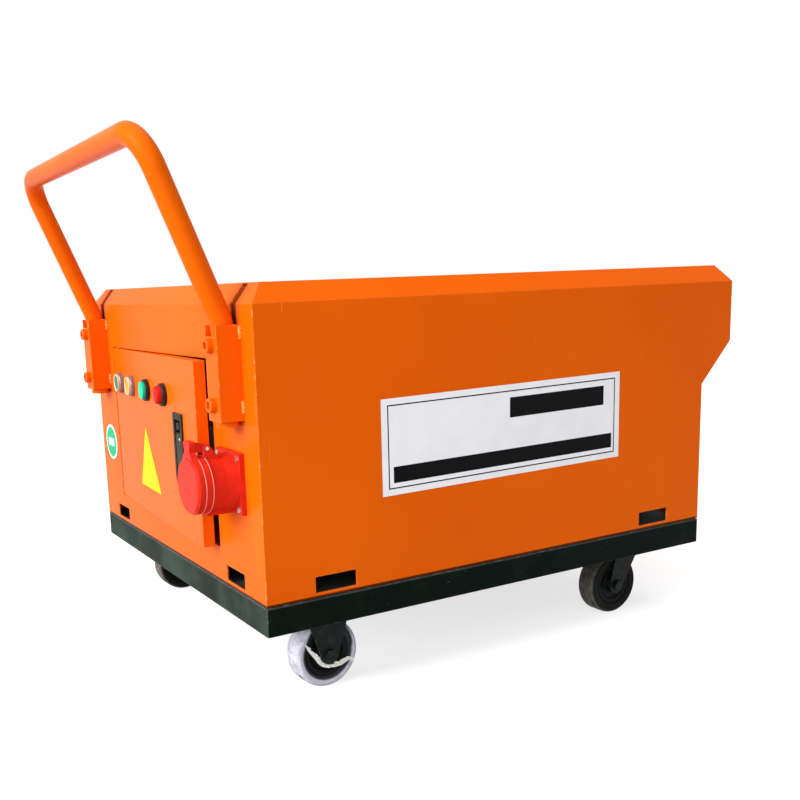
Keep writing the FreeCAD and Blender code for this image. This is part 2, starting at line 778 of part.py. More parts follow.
# Corner angles tie the panels to each other and stand on the deck
angles = []
for end, sign_x, height in (("control", -1, s.crease_height), ("hopper", 1, s.overhang_start)):
    for side, sign_y in (("near", -1), ("far", 1)):
        face_x = sign_x * (half_length - s.sheet)
        face_y = sign_y * inside
        leg = s.corner_angle_leg
        wall = s.sheet
        outline = [(face_x, face_y), (face_x - sign_x * leg, face_y),
                   (face_x - sign_x * leg, face_y - sign_y * wall),
                   (face_x - sign_x * wall, face_y - sign_y * wall),
                   (face_x - sign_x * wall, face_y - sign_y * leg), (face_x, face_y - sign_y * leg)]
        top = above(height) - s.hopper_lip
        angle = plate(f"{end}_{side}_angle", "XY", deck_top, top, outline)
        angles.append(angle)
node("corner_angles", group("corner_angle_set", *angles))

# Hopper bin: a funnel over a round-bottomed trough, hung from the rim and set on two saddles
mouth_x0 = -1 * s.hopper_back
mouth_x1 = hopper_x - s.rim_inset - s.rim_flange - s.hopper_rim_room
mouth_y = half_width - s.rim_inset - s.rim_flange - s.hopper_rim_room
trough_radius = s.flight_radius + s.trough_clearance
funnel_low = above(s.hopper_floor)


def grown(rectangle_sizes, by):
    x0, x1, y0, y1 = rectangle_sizes
    return (x0 - by, x1 + by, y0 - by, y1 + by)


mouth = (mouth_x0, mouth_x1, -1 * mouth_y, mouth_y)
throat = (s.trough_start, s.trough_end, -1 * trough_radius, trough_radius)
funnel = frustum("funnel_outer", grown(throat, s.hopper_sheet), grown(mouth, s.hopper_sheet),
                 funnel_low, flange_bottom)
funnel_space = frustum("funnel_space", throat, mouth, funnel_low, flange_bottom)
x0, x1, y0, y1 = grown(throat, s.hopper_sheet)
trough = box("trough_outer", (x0, x1), (y0, y1), (axis_z, funnel_low))
x2, x3, y2, y3 = throat
trough_space = box("trough_space", (x2, x3), (y2, y3), (axis_z, funnel_low))
trough_round = rod("trough_round", trough_radius + s.hopper_sheet, "x", x0, 0, axis_z, x1 - x0)
trough_round_space = rod("trough_round_space", trough_radius, "x", x2, 0, axis_z, x3 - x2)
back_plate = rod("back_plate", s.barrel_flange_radius, "x", s.trough_start - s.flange_thickness, 0,
                 axis_z, s.flange_thickness)
front_plate = rod("front_plate", s.barrel_flange_radius, "x", s.trough_end, 0, axis_z, s.flange_thickness)
lx0, lx1, ly0, ly1 = grown(mouth, s.hopper_lip)
bin_lip = box("bin_lip", (lx0, lx1), (ly0, ly1), (flange_bottom - s.sheet, flange_bottom))
lip_space = box("lip_space", (mouth_x0, mouth_x1), (-1 * mouth_y, mouth_y),
                (flange_bottom - s.sheet, flange_bottom + 1))
shaft_hole = rod("bin_shaft_hole", s.shaft_radius + s.door_gap, "x",
                 s.trough_start - 3 * s.flange_thickness, 0, axis_z, 4 * s.flange_thickness)
barrel_bore_radius = s.flight_radius + s.flight_clearance
barrel_way = rod("bin_barrel_way", barrel_bore_radius, "x", s.trough_end - s.flange_thickness, 0, axis_z,
                 3 * s.flange_thickness)
bin_shell = cut("bin_shell", fuse("bin_walls_solid", funnel, trough, trough_round, back_plate, front_plate,
                                  bin_lip),
                funnel_space, trough_space, trough_round_space, lip_space, shaft_hole, barrel_way)

saddles = []
saddle_half = trough_radius + 26
for label, x in (("back", s.trough_start + 22), ("front", s.trough_end - 40)):
    upright = plate(f"{label}_saddle_plate", "YZ", x, x + s.saddle_thickness,
                    [(-1 * saddle_half, deck_top), (saddle_half, deck_top),
                     (saddle_half, axis_z - 20), (-1 * saddle_half, axis_z - 20)])
    seat = rod(f"{label}_saddle_seat", trough_radius + s.hopper_sheet, "x", x - 1, 0, axis_z,
               s.saddle_thickness + 2)
    foot = box(f"{label}_saddle_foot", (x - 20, x + s.saddle_thickness + 20),
               (-1 * saddle_half, saddle_half), (deck_top, deck_top + 6))
    saddles.append(cut(f"{label}_saddle", fuse(f"{label}_saddle_weld", upright, foot), seat))
node("hopper_saddles", group("saddle_pair", *saddles))

# Feed screw: a helical flight on a solid shaft, running in the trough and the barrel
seal_face = s.trough_start - s.flange_thickness
screw_tip = s.barrel_end - s.flange_thickness
shaft_tail = seal_face - s.bearing_length - 60
flight_start = s.trough_start + 6


def feed_screw():
    body = doc.addObject("PartDesign::Body", "feed_screw_body")
    nose = 16
    shaft = sketch_on(body, "XZ_Plane", 0,
                      [(0, shaft_tail), (s.shaft_radius, shaft_tail), (s.shaft_radius, screw_tip - nose),
                       (s.shaft_radius - nose, screw_tip), (0, screw_tip)])
    turn = body.newObject("PartDesign::Revolution", "shaft_turn")
    turn.Profile = shaft
    turn.ReferenceAxis = (shaft, ["V_Axis"])
    turn.Angle = 360
    root_radius = s.shaft_radius - 1.5
    profile = sketch_on(body, "XZ_Plane", 0,
                        rectangle(root_radius, s.flight_radius, flight_start,
                                  flight_start + s.flight_thickness))
    flight = body.newObject("PartDesign::AdditiveHelix", "flight")
    flight.Profile = profile
    flight.ReferenceAxis = (profile, ["V_Axis"])
    flight.Mode = 0
    bind(flight, Pitch=s.flight_pitch, Height=screw_tip - nose - flight_start - s.flight_thickness)
    return place(body, 0, 0, axis_z, *ALONG["x"])


node("feed_screw", feed_screw())


def flange_places():
    """Where the bolts of a flange go, as (y, z) from its centre line."""
    for i in range(6):
        angle = 30 + 60 * i
        yield s.flange_bolt_circle / 2 * cosine(angle), axis_z + s.flange_bolt_circle / 2 * sine(angle)


def flange_screws(name, start, end, head_at, nut_at=None):
    """Shanks from one place to another, with heads on the side given and nuts where there are any."""
    screws = []
    for i, (y, z) in enumerate(flange_places()):
        pieces = [rod(f"{name}_shank_{i}", s.flange_bolt_radius, "x", start, y, z, end - start),
                  hexagon(f"{name}_head_{i}", s.hexagon_share * s.flange_bolt_radius, "x", head_at, y, z,
                          s.bolt_head_height)]
        if nut_at is not None:
            pieces.append(hexagon(f"{name}_nut_{i}", s.hexagon_share * s.flange_bolt_radius, "x", nut_at, y,
                                  z, s.bolt_head_height))
        screws.append(fuse(f"{name}_{i}", *pieces))
    return screws


def flange_holes(name, start, end):
    return fuse(name, *[rod(f"{name}_{i}", s.flange_bolt_radius, "x", start, y, z, end - start)
                        for i, (y, z) in enumerate(flange_places())])


barrel_start = s.trough_end + s.flange_thickness
tube_outer = rod("barrel_tube", barrel_radius, "x", barrel_start, 0, axis_z, s.barrel_end - barrel_start)
flange_in = rod("barrel_flange_in", s.barrel_flange_radius, "x", barrel_start, 0, axis_z,
                s.flange_thickness)
flange_out = rod("barrel_flange_out", s.barrel_flange_radius, "x", s.barrel_end - s.flange_thickness, 0,
                 axis_z, s.flange_thickness)
barrel_bore = rod("barrel_bore", barrel_bore_radius, "x", barrel_start - 1, 0, axis_z,
                  s.barrel_end - barrel_start + 2)
bolt_grip = s.flange_thickness - 2
flange_holes_front = flange_holes("front_flange_holes", barrel_start - bolt_grip,
                                  barrel_start + s.flange_thickness)
flange_holes_back = flange_holes("back_flange_holes", seal_face - s.flange_thickness, seal_face + bolt_grip)
flange_holes_out = flange_holes("outlet_flange_holes", s.barrel_end - s.flange_thickness,
                                s.barrel_end + s.flange_thickness)
node("delivery_barrel", cut("barrel", fuse("barrel_weld", tube_outer, flange_in, flange_out), barrel_bore,
                            flange_holes_front, flange_holes_out))
barrel_face = barrel_start + s.flange_thickness
bearing_flange = seal_face - s.flange_thickness
machine_bolts += flange_screws("front_screw", barrel_start - bolt_grip, barrel_face, barrel_face)
machine_bolts += flange_screws("back_screw", bearing_flange, seal_face + bolt_grip,
                               bearing_flange - s.bolt_head_height)
machine_bolts += flange_screws("outlet_bolt", s.barrel_end - s.flange_thickness,
                               s.barrel_end + s.flange_thickness,
                               s.barrel_end - s.flange_thickness - s.bolt_head_height,
                               s.barrel_end + s.flange_thickness)

# Outlet: flange, reducer cone and a raised-end pipe; its face is as far out as the handle
bracket_depth = s.handle_tube + 2 * s.tube_room + s.bracket_wall
leg_x = wall_x - s.tube_room - s.handle_tube / 2
lean_run = (s.handle_height - s.handle_bend_height) * sine(s.handle_lean) / cosine(s.handle_lean)
bar_x = leg_x - lean_run
outlet_face = -1 * bar_x + s.handle_tube / 2
outlet_radius = s.outlet_bore_radius + s.outlet_wall
cone_start = s.barrel_end + s.flange_thickness
pipe_start = outlet_face - s.outlet_pipe_length
cone_outer = cone("outlet_cone", barrel_radius, outlet_radius, "x", cone_start, 0, axis_z,
                  pipe_start - cone_start)
cone_inner = cone("outlet_cone_space", barrel_bore_radius, s.outlet_bore_radius, "x", cone_start, 0,
                  axis_z, pipe_start - cone_start)
outlet_flange = rod("outlet_flange", s.barrel_flange_radius, "x", s.barrel_end, 0, axis_z,
                    s.flange_thickness)
flange_space = rod("outlet_flange_space", barrel_bore_radius, "x", s.barrel_end - 1, 0, axis_z,
                   s.flange_thickness + 1)
outlet_pipe = rod("outlet_pipe", outlet_radius, "x", pipe_start, 0, axis_z, s.outlet_pipe_length)
outlet_ring = rod("outlet_ring", outlet_radius + s.outlet_ring_height, "x",
                  outlet_face - s.outlet_ring_length, 0, axis_z, s.outlet_ring_length)
outlet_space = rod("outlet_space", s.outlet_bore_radius, "x", pipe_start - 1, 0, axis_z,
                   s.outlet_pipe_length + 2)
node("outlet_reducer", cut("outlet", fuse("outlet_weld", cone_outer, outlet_flange, outlet_pipe,
                                          outlet_ring),
                           cone_inner, flange_space, outlet_space, flange_holes_out))

# Drive: bearing housing on the trough, gear unit, flanged motor with a fan under its cowl
bearing_x = seal_face - s.bearing_length
gearbox_x = bearing_x - s.gearbox_length
motor_face = gearbox_x - s.motor_flange
motor_x = motor_face - s.motor_length
cowl_x = motor_x - s.fan_cowl_length
bearing_body = turned("bearing_body",
                      [(s.shaft_radius + s.pin_clearance, bearing_x),
                       (s.barrel_flange_radius - 12, bearing_x),
                       (s.barrel_flange_radius - 12, bearing_x + 10),
                       (s.bearing_radius - 8, bearing_x + 10),
                       (s.bearing_radius, seal_face - 10), (s.barrel_flange_radius, seal_face - 10),
                       (s.barrel_flange_radius, seal_face), (s.shaft_radius + s.pin_clearance, seal_face)],
                      "x", 0, 0, axis_z)
node("bearing_housing", cut("bearing", bearing_body, flange_holes_back))

half_box = s.gearbox_width / 2
foot_out = half_box + s.gearbox_foot_width
foot_top = axis_z - s.gearbox_foot + s.gearbox_foot_thickness
gear_case = plate("gear_case", "YZ", gearbox_x, bearing_x,
                  [(-1 * half_box, foot_top), (-1 * foot_out, foot_top),
                   (-1 * foot_out, axis_z - s.gearbox_foot), (foot_out, axis_z - s.gearbox_foot),
                   (foot_out, foot_top), (half_box, foot_top),
                   (half_box, axis_z + 62), (half_box - 30, axis_z + 92), (30 - half_box, axis_z + 92),
                   (-1 * half_box, axis_z + 62)])
gear_bore = rod("gear_bore", s.shaft_radius + s.pin_clearance, "x", bearing_x - 60.5, 0, axis_z, 62)
motor_bore = rod("gear_motor_bore", s.motor_shaft_radius + s.pin_clearance, "x", gearbox_x - 1, 0, axis_z,
                 31.5)

motor_core = rod("motor_core", s.motor_radius, "x", motor_x, 0, axis_z, s.motor_length)
motor_foot = rod("motor_flange_ring", s.motor_radius + s.motor_fin - 4, "x", motor_face, 0, axis_z,
                 s.motor_flange)
shield_length = 10
motor_shield = rod("motor_end_shield", s.motor_radius + s.motor_fin, "x", motor_x, 0, axis_z, shield_length)


def spoke(name, x0, x1, width, inner, outer, angle):
    """A block that stands out from the drive axis, from one radius to another, at an angle."""
    obj = doc.addObject("Part::Box", name)
    bind(obj, Length=x1 - x0, Width=width, Height=outer - inner)
    half = width / 2
    y = -1 * half * cosine(angle) - inner * sine(angle)
    z = axis_z - half * sine(angle) + inner * cosine(angle)
    return place(obj, x0, y, z, V(1, 0, 0), angle)


ribs = [spoke(f"motor_rib_{i}", motor_x + shield_length + 8, motor_face - 8, 4, s.motor_radius - 4,
              s.motor_radius + s.motor_fin, 15 * i) for i in range(24)]
motor_shaft_space = rod("motor_shaft_space", s.motor_shaft_radius + s.pin_clearance, "x", motor_x - 1, 0,
                        axis_z, s.motor_length + s.motor_flange + 2)
node("motor_housing", cut("motor_body", fuse("motor_frame", motor_core, motor_foot, motor_shield, *ribs),
                          motor_shaft_space))
cowl_wall = 2
cowl_radius = s.motor_radius + s.motor_fin + cowl_wall
cowl_shell = turned("cowl_shell",
                    [(cowl_radius - cowl_wall, cowl_x + cowl_wall), (30, cowl_x + cowl_wall), (30, cowl_x),
                     (cowl_radius, cowl_x), (cowl_radius, motor_x + shield_length),
                     (cowl_radius - cowl_wall, motor_x + shield_length)], "x", 0, 0, axis_z)
cowl_slots = [spoke(f"cowl_slot_{i}", cowl_x - 1, cowl_x + cowl_wall + 1, 14, 40, cowl_radius - 14, 36 * i)
              for i in range(10)]
node("fan_cowl", cut("cowl", cowl_shell, *cowl_slots))

fan_x = motor_x - 34
blades = [spoke(f"fan_blade_{i}", fan_x, fan_x + 22, 3, 16, s.motor_radius - 8,
                360 / 7 * i) for i in range(7)]
fan_hub = rod("fan_hub", 18, "x", fan_x - 2, 0, axis_z, 26)
rotor_shaft = rod("rotor_shaft", s.motor_shaft_radius, "x", fan_x - 6, 0, axis_z,
                  gearbox_x + 30 - fan_x + 6)
node("motor_rotor", fuse("rotor", rotor_shaft, fan_hub, *blades))

terminal_base = axis_z + s.motor_radius + s.motor_fin
terminal_lid = box("terminal_lid", (motor_x + 78, motor_x + 172), (-42, 42),
                   (terminal_base + 44, terminal_base + 52))
terminal_case = box("terminal_case", (motor_x + 80, motor_x + 170), (-40, 40),
                    (terminal_base, terminal_base + 44))
terminal_gland = rod("terminal_gland", 10, "x", motor_x + 60, 0, terminal_base + 22, 22)
node("terminal_box", fuse("terminal", terminal_case, terminal_lid, terminal_gland))

cradle_top = axis_z - s.gearbox_foot
rail_wall = 5
rail_low = half_box - 14
rail_high = foot_out
cradle_parts = []
for side, sign in (("near", -1), ("far", 1)):
    cradle_parts.append(plate(f"{side}_cradle_rail", "YZ", gearbox_x - 12, bearing_x + 12,
                              [(sign * rail_low, deck_top), (sign * rail_high, deck_top),
                               (sign * rail_high, deck_top + rail_wall),
                               (sign * (rail_low + rail_wall), deck_top + rail_wall),
                               (sign * (rail_low + rail_wall), cradle_top - rail_wall),
                               (sign * rail_high, cradle_top - rail_wall), (sign * rail_high, cradle_top),
                               (sign * rail_low, cradle_top)]))
motor_stand = plate("motor_stand", "YZ", motor_x + 50, motor_x + 50 + s.saddle_thickness,
                    [(-1 * cowl_radius, deck_top), (cowl_radius, deck_top), (cowl_radius, axis_z - 40),
                     (-1 * cowl_radius, axis_z - 40)])
stand_seat = rod("motor_stand_seat", s.motor_radius + s.motor_fin + s.pin_clearance, "x", motor_x + 49, 0,
                 axis_z,
                 s.saddle_thickness + 2)
cradle_parts.append(cut("motor_stand_plate", motor_stand, stand_seat))
drive_bolts = []
drive_holes = []
foot_y = half_box + s.gearbox_bolt_out
for i, (x, side) in enumerate(((gearbox_x + 20, -1), (gearbox_x + 20, 1), (bearing_x - 20, -1),
                               (bearing_x - 20, 1))):
    low = cradle_top - rail_wall - s.bolt_head_height
    high = cradle_top + s.gearbox_foot_thickness
    shank = rod(f"drive_bolt_shank_{i}", s.flange_bolt_radius, "z", x, side * foot_y, low, high - low)
    nut = hexagon(f"drive_bolt_nut_{i}", s.hexagon_share * s.flange_bolt_radius, "z", x, side * foot_y, low,
                  s.bolt_head_height)
    head = hexagon(f"drive_bolt_head_{i}", s.hexagon_share * s.flange_bolt_radius, "z", x, side * foot_y,
                   high,
                   s.bolt_head_height)
    drive_bolts.append(fuse(f"drive_bolt_{i}", shank, nut, head))
    drive_holes.append(rod(f"drive_bolt_hole_{i}", s.flange_bolt_radius, "z", x, side * foot_y, low,
                           high - low))
foot_holes = fuse("drive_bolt_holes", *drive_holes)
node("machine_bolts", group("machine_bolt_set", *machine_bolts, *drive_bolts))
node("drive_cradle", group("cradle", *[cut(f"cradle_{i}", piece, foot_holes) for i, piece in
                                       enumerate(cradle_parts[:2])], cradle_parts[2]))
node("gear_unit", cut("gear_unit_body", gear_case, gear_bore, motor_bore, foot_holes))

# Bridge between the hopper mouth and the drive compartment, the ledge under the rim, and the cover
bridge_x = -1 * s.bridge_back
rim_edge_x = wall_x + s.rim_inset + s.rim_flange
rim_edge_y = half_width - s.rim_inset - s.rim_flange
pin_x = bridge_x - s.cover_hinge_room
pin_z = rim_top - s.cover_hinge_drop
hinge_half = 40
leaf_half = 19.5


def knuckle(name, y0, y1, block, bore_clearance=0):
    """A rolled hinge knuckle with the leaf that carries it, bored for the pin."""
    barrel = rod(name + "_roll", s.knuckle_radius, "y", pin_x, y0, pin_z, y1 - y0)
    leaf = box(name + "_leaf", block[0], (y0, y1), block[1])
    bore = rod(name + "_bore", s.hinge_pin_radius + bore_clearance, "y", pin_x, y0 - 1, pin_z, y1 - y0 + 2)
    return cut(name, fuse(name + "_rolled", barrel, leaf), bore)


bridge_knuckles = []
cover_knuckles = []
pins = []
cover_underside = rim_top - s.cover_sheet
for side, sign in (("near", -1), ("far", 1)):
    centre = sign * (rim_edge_y - s.cover_hinge_inset)
    arm = ((pin_x, bridge_x), (pin_z - s.knuckle_radius, pin_z - 0.5))
    bridge_knuckles.append(knuckle(f"{side}_bridge_knuckle_low", centre - hinge_half,
                                   centre - leaf_half - 0.5, arm))
    bridge_knuckles.append(knuckle(f"{side}_bridge_knuckle_high", centre + leaf_half + 0.5,
                                   centre + hinge_half, arm))
    wing = ((pin_x - 14, pin_x), (pin_z - 3, cover_underside))
    cover_knuckles.append(knuckle(f"{side}_cover_knuckle", centre - leaf_half, centre + leaf_half, wing,
                                  s.pin_clearance))
    pins.append(rod(f"{side}_cover_pin", s.hinge_pin_radius, "y", pin_x, centre - hinge_half, pin_z,
                    2 * hinge_half))

bridge_edge = -1 * s.bridge_front
bridge_plate = box("bridge_plate", (bridge_x, bridge_edge), (-1 * rim_edge_y, rim_edge_y),
                   (flange_bottom, rim_top))
lip_run = rim_edge_y - s.ledge_width - 4
back_lip = box("bridge_back_lip", (bridge_x, bridge_x + s.sheet), (-1 * lip_run, lip_run),
               (flange_bottom - s.bridge_lip, flange_bottom))
front_x = bridge_edge - s.hopper_lip - 2
front_lip = box("bridge_front_lip", (front_x - s.sheet, front_x), (-1 * lip_run, lip_run),
                (flange_bottom - s.bridge_lip, flange_bottom))
node("top_bridge", fuse("bridge", bridge_plate, back_lip, front_lip, *bridge_knuckles))

ledge_end = pin_x - 20
ledge_outer = box("ledge_outer", (rim_edge_x - s.ledge_width, ledge_end),
                  (-1 * (rim_edge_y + s.ledge_width), rim_edge_y + s.ledge_width),
                  (flange_bottom - s.sheet, flange_bottom))
ledge_inner = box("ledge_inner", (rim_edge_x + s.ledge_width, ledge_end + 1),
                  (-1 * (rim_edge_y - s.ledge_width), rim_edge_y - s.ledge_width),
                  (flange_bottom - s.sheet - 1, flange_bottom + 1))
node("cover_ledge", cut("ledge", ledge_outer, ledge_inner))

cover_x0 = rim_edge_x + s.cover_room
cover_x1 = pin_x - s.knuckle_radius - 0.5
cover_y = rim_edge_y - s.cover_room
stiffener = s.ledge_width + 4
cover_top = box("cover_plate", (cover_x0, cover_x1), (-1 * cover_y, cover_y), (cover_underside, rim_top))
skirt = box("cover_skirt", (cover_x0 + stiffener, cover_x1 - stiffener),
            (stiffener - cover_y, cover_y - stiffener), (cover_underside - s.cover_lip, cover_underside))
skirt_space = box("cover_skirt_space", (cover_x0 + stiffener + s.cover_sheet,
                                        cover_x1 - stiffener - s.cover_sheet),
                  (stiffener + s.cover_sheet - cover_y, cover_y - stiffener - s.cover_sheet),
                  (cover_underside - s.cover_lip - 1, cover_underside))
hand_slot = box("cover_hand_slot", (cover_x0 + 46, cover_x0 + 76), (-60, 60),
                (cover_underside - 1, rim_top + 1))
node("motor_cover", cut("cover", fuse("cover_fold", cover_top, cut("cover_ribs", skirt, skirt_space),
                                      *cover_knuckles), hand_slot))

# Hopper grate: cross bars welded on top of long bars inside a frame of flat bars, turning on two
# stub pins at its back and resting on two pads at its front
grate_rest = s.crease_height + s.rim_rise - s.sheet - s.grate_drop


def funnel_at(height):
    """Inner faces of the hopper's funnel at a height above the frame top, as (x0, x1, y)."""
    share = (height - s.hopper_floor) / (s.crease_height + s.rim_rise - s.sheet - s.hopper_floor)
    return (throat[0] + (mouth[0] - throat[0]) * share, throat[1] + (mouth[1] - throat[1]) * share,
            throat[3] + (mouth[3] - throat[3]) * share)


rest_x0, rest_x1, rest_y = funnel_at(grate_rest)
grate_x0 = rest_x0 + s.grate_back_room
grate_x1 = rest_x1 - s.grate_side_room
grate_y = rest_y - s.grate_side_room
grate_low = above(grate_rest)
grate_high = grate_low + s.grate_height
grate_middle = grate_low + s.grate_height / 2
grate_pin_x = grate_x0 + 2 * s.grate_bar
inner_xs = (grate_x0 + s.grate_bar, grate_x1 - s.grate_bar)
inner_y = grate_y - s.grate_bar
half_bar = s.grate_bar / 2
grate_bore = rod("grate_pin_bore", s.grate_pin_radius + s.pin_clearance, "y", grate_pin_x, -1 * grate_y - 1,
                 grate_middle, 2 * grate_y + 2)
bars = [box("grate_back_bar", (grate_x0, inner_xs[0]), (-1 * grate_y, grate_y), (grate_low, grate_high)),
        box("grate_front_bar", (inner_xs[1], grate_x1), (-1 * grate_y, grate_y), (grate_low, grate_high))]
for side, ys in (("near", (-1 * grate_y, -1 * inner_y)), ("far", (inner_y, grate_y))):
    bars.append(cut(f"grate_{side}_bar", box(f"grate_{side}_flat", inner_xs, ys, (grate_low, grate_high)),
                    grate_bore))
CROSS_BARS = 7
LONG_BARS = 5
for i in range(1, CROSS_BARS + 1):
    x = grate_x0 + (grate_x1 - grate_x0) * i / (CROSS_BARS + 1)
    bars.append(box(f"grate_cross_bar_{i}", (x - half_bar, x + half_bar), (-1 * inner_y, inner_y),
                    (grate_middle, grate_high)))
for i in range(1, LONG_BARS + 1):
    y = grate_y * (2 * i / (LONG_BARS + 1) - 1)
    bars.append(box(f"grate_long_bar_{i}", inner_xs, (y - half_bar, y + half_bar),
                    (grate_low, grate_middle)))
node("hopper_grate", group("grate_bars", *bars))

wall_y = funnel_at(grate_rest + s.grate_height / 2)[2] + s.hopper_sheet
pin_start = inner_y - 6
pin_length = wall_y - pin_start
pin_holes = []
for side, y in (("near", -1 * wall_y), ("far", pin_start)):
    pins.append(rod(f"{side}_grate_pin", s.grate_pin_radius, "y", grate_pin_x, y, grate_middle, pin_length))
    pin_holes.append(rod(f"{side}_grate_pin_hole", s.grate_pin_radius, "y", grate_pin_x, y, grate_middle,
                         pin_length))
pad_y = rest_y * 0.43
pads = [box(f"grate_pad_{i}", (grate_x1 - 20, rest_x1), (y - 15, y + 15),
            (grate_low - 12, grate_low - s.running_clearance)) for i, y in enumerate((-1 * pad_y, pad_y))]
node("hopper_bin", cut("hopper_bin_body",
                       fuse("bin_walls", bin_shell, *pads), *pin_holes, flange_holes_back,
                       flange_holes_front))

# Control cabinet behind the door, with its mounting plate and switchgear
cabinet_front = wall_x + s.sheet
cabinet_back = cabinet_front + s.cabinet_depth
cabinet_y0 = door_near_y - s.cabinet_margin
cabinet_y1 = door_hinge_y + s.cabinet_margin
cabinet_z0 = above(s.door_bottom) - s.cabinet_margin
cabinet_z1 = above(s.door_top) + s.cabinet_margin
cabinet_outer = box("cabinet_outer", (cabinet_front, cabinet_back), (cabinet_y0, cabinet_y1),
                    (cabinet_z0, cabinet_z1))
cabinet_inner = box("cabinet_inner", (cabinet_front - 1, cabinet_back - s.cabinet_wall),
                    (cabinet_y0 + s.cabinet_wall, cabinet_y1 - s.cabinet_wall),
                    (cabinet_z0 + s.cabinet_wall, cabinet_z1 - s.cabinet_wall))
node("control_cabinet", cut("cabinet", cabinet_outer, cabinet_inner))

plate_back = cabinet_back - s.cabinet_wall - s.standoff
plate_front = plate_back - s.cabinet_wall
plate_y = (cabinet_y0 + 24, cabinet_y1 - 24)
plate_z = (cabinet_z0 + 24, cabinet_z1 - 24)
standoffs = [rod(f"standoff_{i}", 6, "x", plate_back, y, z, s.standoff)
             for i, (y, z) in enumerate(((plate_y[0] + 15, plate_z[0] + 15), (plate_y[1] - 15,
                                                                              plate_z[0] + 15),
                                         (plate_y[0] + 15, plate_z[1] - 15),
                                         (plate_y[1] - 15, plate_z[1] - 15)))]
node("mounting_plate", fuse("back_panel", box("back_panel_sheet", (plate_front, plate_back), plate_y,
                                              plate_z),
                            *standoffs))


def switchgear(name, y, width, low, height, depth):
    """A block on the mounting plate with a narrower upper step and a recessed front."""
    base = box(name + "_base", (plate_front - depth * 0.6, plate_front), (y, y + width),
               (low, low + height))
    step = box(name + "_step", (plate_front - depth, plate_front - depth * 0.6), (y + 3, y + width - 3),
               (low + height * 0.2, low + height * 0.8))
    return fuse(name, base, step)


gear_row = plate_z[0] + 122
gear_y = plate_y[0] + 78
contactor_pitch = 56
contactors = [switchgear(f"contactor_{i}", gear_y + contactor_pitch * i, 45, gear_row, 80,
                         68) for i in range(3)]
node("contactors", group("contactor_set", *contactors))
breaker_y = gear_y + 4 * contactor_pitch
breaker = switchgear("breaker_block", breaker_y, 54, gear_row, 90, 62)
breaker_knob = rod("breaker_knob", 14, "x", plate_front - 76, breaker_y + 27, gear_row + 45, 16)
node("motor_breaker", fuse("breaker", breaker, breaker_knob))
strip_low = plate_z[0] + 22
strip_ys = (plate_y[0] + 68, plate_y[1] - 68)
strip_high = strip_low + 42
strip_base = box("strip_base", (plate_front - 30, plate_front), strip_ys, (strip_low, strip_high))
strip_grooves = [box(f"strip_groove_{i}", (plate_front - 31, plate_front - 22),
                     (strip_ys[0] + 10 + 30 * i, strip_ys[0] + 22 + 30 * i),
                     (strip_low - 1, strip_high + 1))
                 for i in range(12)]
node("terminal_strip", cut("strip", strip_base, *strip_grooves))

# Control door: a tray that turns on two pins, with its lamps, buttons and latch; it stands ajar
pivot_x = wall_x + s.hinge_depth
pivot_y = door_hinge_y - s.hinge_edge_gap - s.hinge_edge_room
door_ys = (door_near_y + s.door_gap, door_hinge_y - s.hinge_edge_gap)
door_zs = (above(s.door_bottom) + s.door_gap, above(s.door_top) - s.door_gap)
boss_length = 14
boss_wall = 3


def ajar(label, obj):
    """Swings a piece of the closed door open round its pivots and names it."""
    turn = -1 * s.door_ajar
    x = pivot_x - (pivot_x * cosine(turn) - pivot_y * sine(turn))
    y = pivot_y - (pivot_x * sine(turn) + pivot_y * cosine(turn))
    return node(label, place(obj, x, y, 0, V(0, 0, 1), turn))


tray = box("door_tray", (wall_x, wall_x + s.door_lip), door_ys, door_zs)
tray_space = box("door_tray_space", (wall_x + s.door_sheet, wall_x + s.door_lip + 1),
                 (door_ys[0] + s.door_sheet, door_ys[1] - s.door_sheet),
                 (door_zs[0] + s.door_sheet, door_zs[1] - s.door_sheet))
boss_radius = s.hinge_pin_radius + boss_wall
bosses = [rod("door_boss_low", boss_radius, "z", pivot_x, pivot_y, door_zs[0], boss_length),
          rod("door_boss_high", boss_radius, "z", pivot_x, pivot_y, door_zs[1] - boss_length, boss_length)]
boss_bore = rod("door_pivot_bore", s.hinge_pin_radius + s.pin_clearance, "z", pivot_x, pivot_y,
                door_zs[0] - 1,
                door_zs[1] - door_zs[0] + 2)
operator_z = above(s.operator_height)
OPERATORS = {"green_lamp": door_hinge_y - s.green_lamp_inset,
             "yellow_lamp": door_hinge_y - s.yellow_lamp_inset,
             "green_button": door_hinge_y - s.green_button_inset,
             "red_button": door_hinge_y - s.red_button_inset}
operator_holes = [rod(f"{name}_hole", s.operator_hole, "x", wall_x - 1, y, operator_z, s.door_sheet + 2)
                  for name, y in OPERATORS.items()]
latch_z0 = above(s.latch_bottom)
latch_z1 = above(s.latch_top)
latch_ys = (latch_y - s.latch_width / 2, latch_y + s.latch_width / 2)
well_ys = (latch_ys[0] + s.latch_wall, latch_ys[1] - s.latch_wall)
well_zs = (latch_z0 + 2 * s.latch_wall, latch_z1 - 2 * s.latch_wall)
well_back = wall_x + s.latch_pocket + s.latch_wall
latch_cutout = box("latch_cutout", (wall_x - 1, wall_x + s.door_sheet + 1), well_ys, well_zs)
ajar("door_panel", cut("door", fuse("door_folded", cut("door_pan", tray, tray_space), *bosses), boss_bore,
                       latch_cutout, *operator_holes))

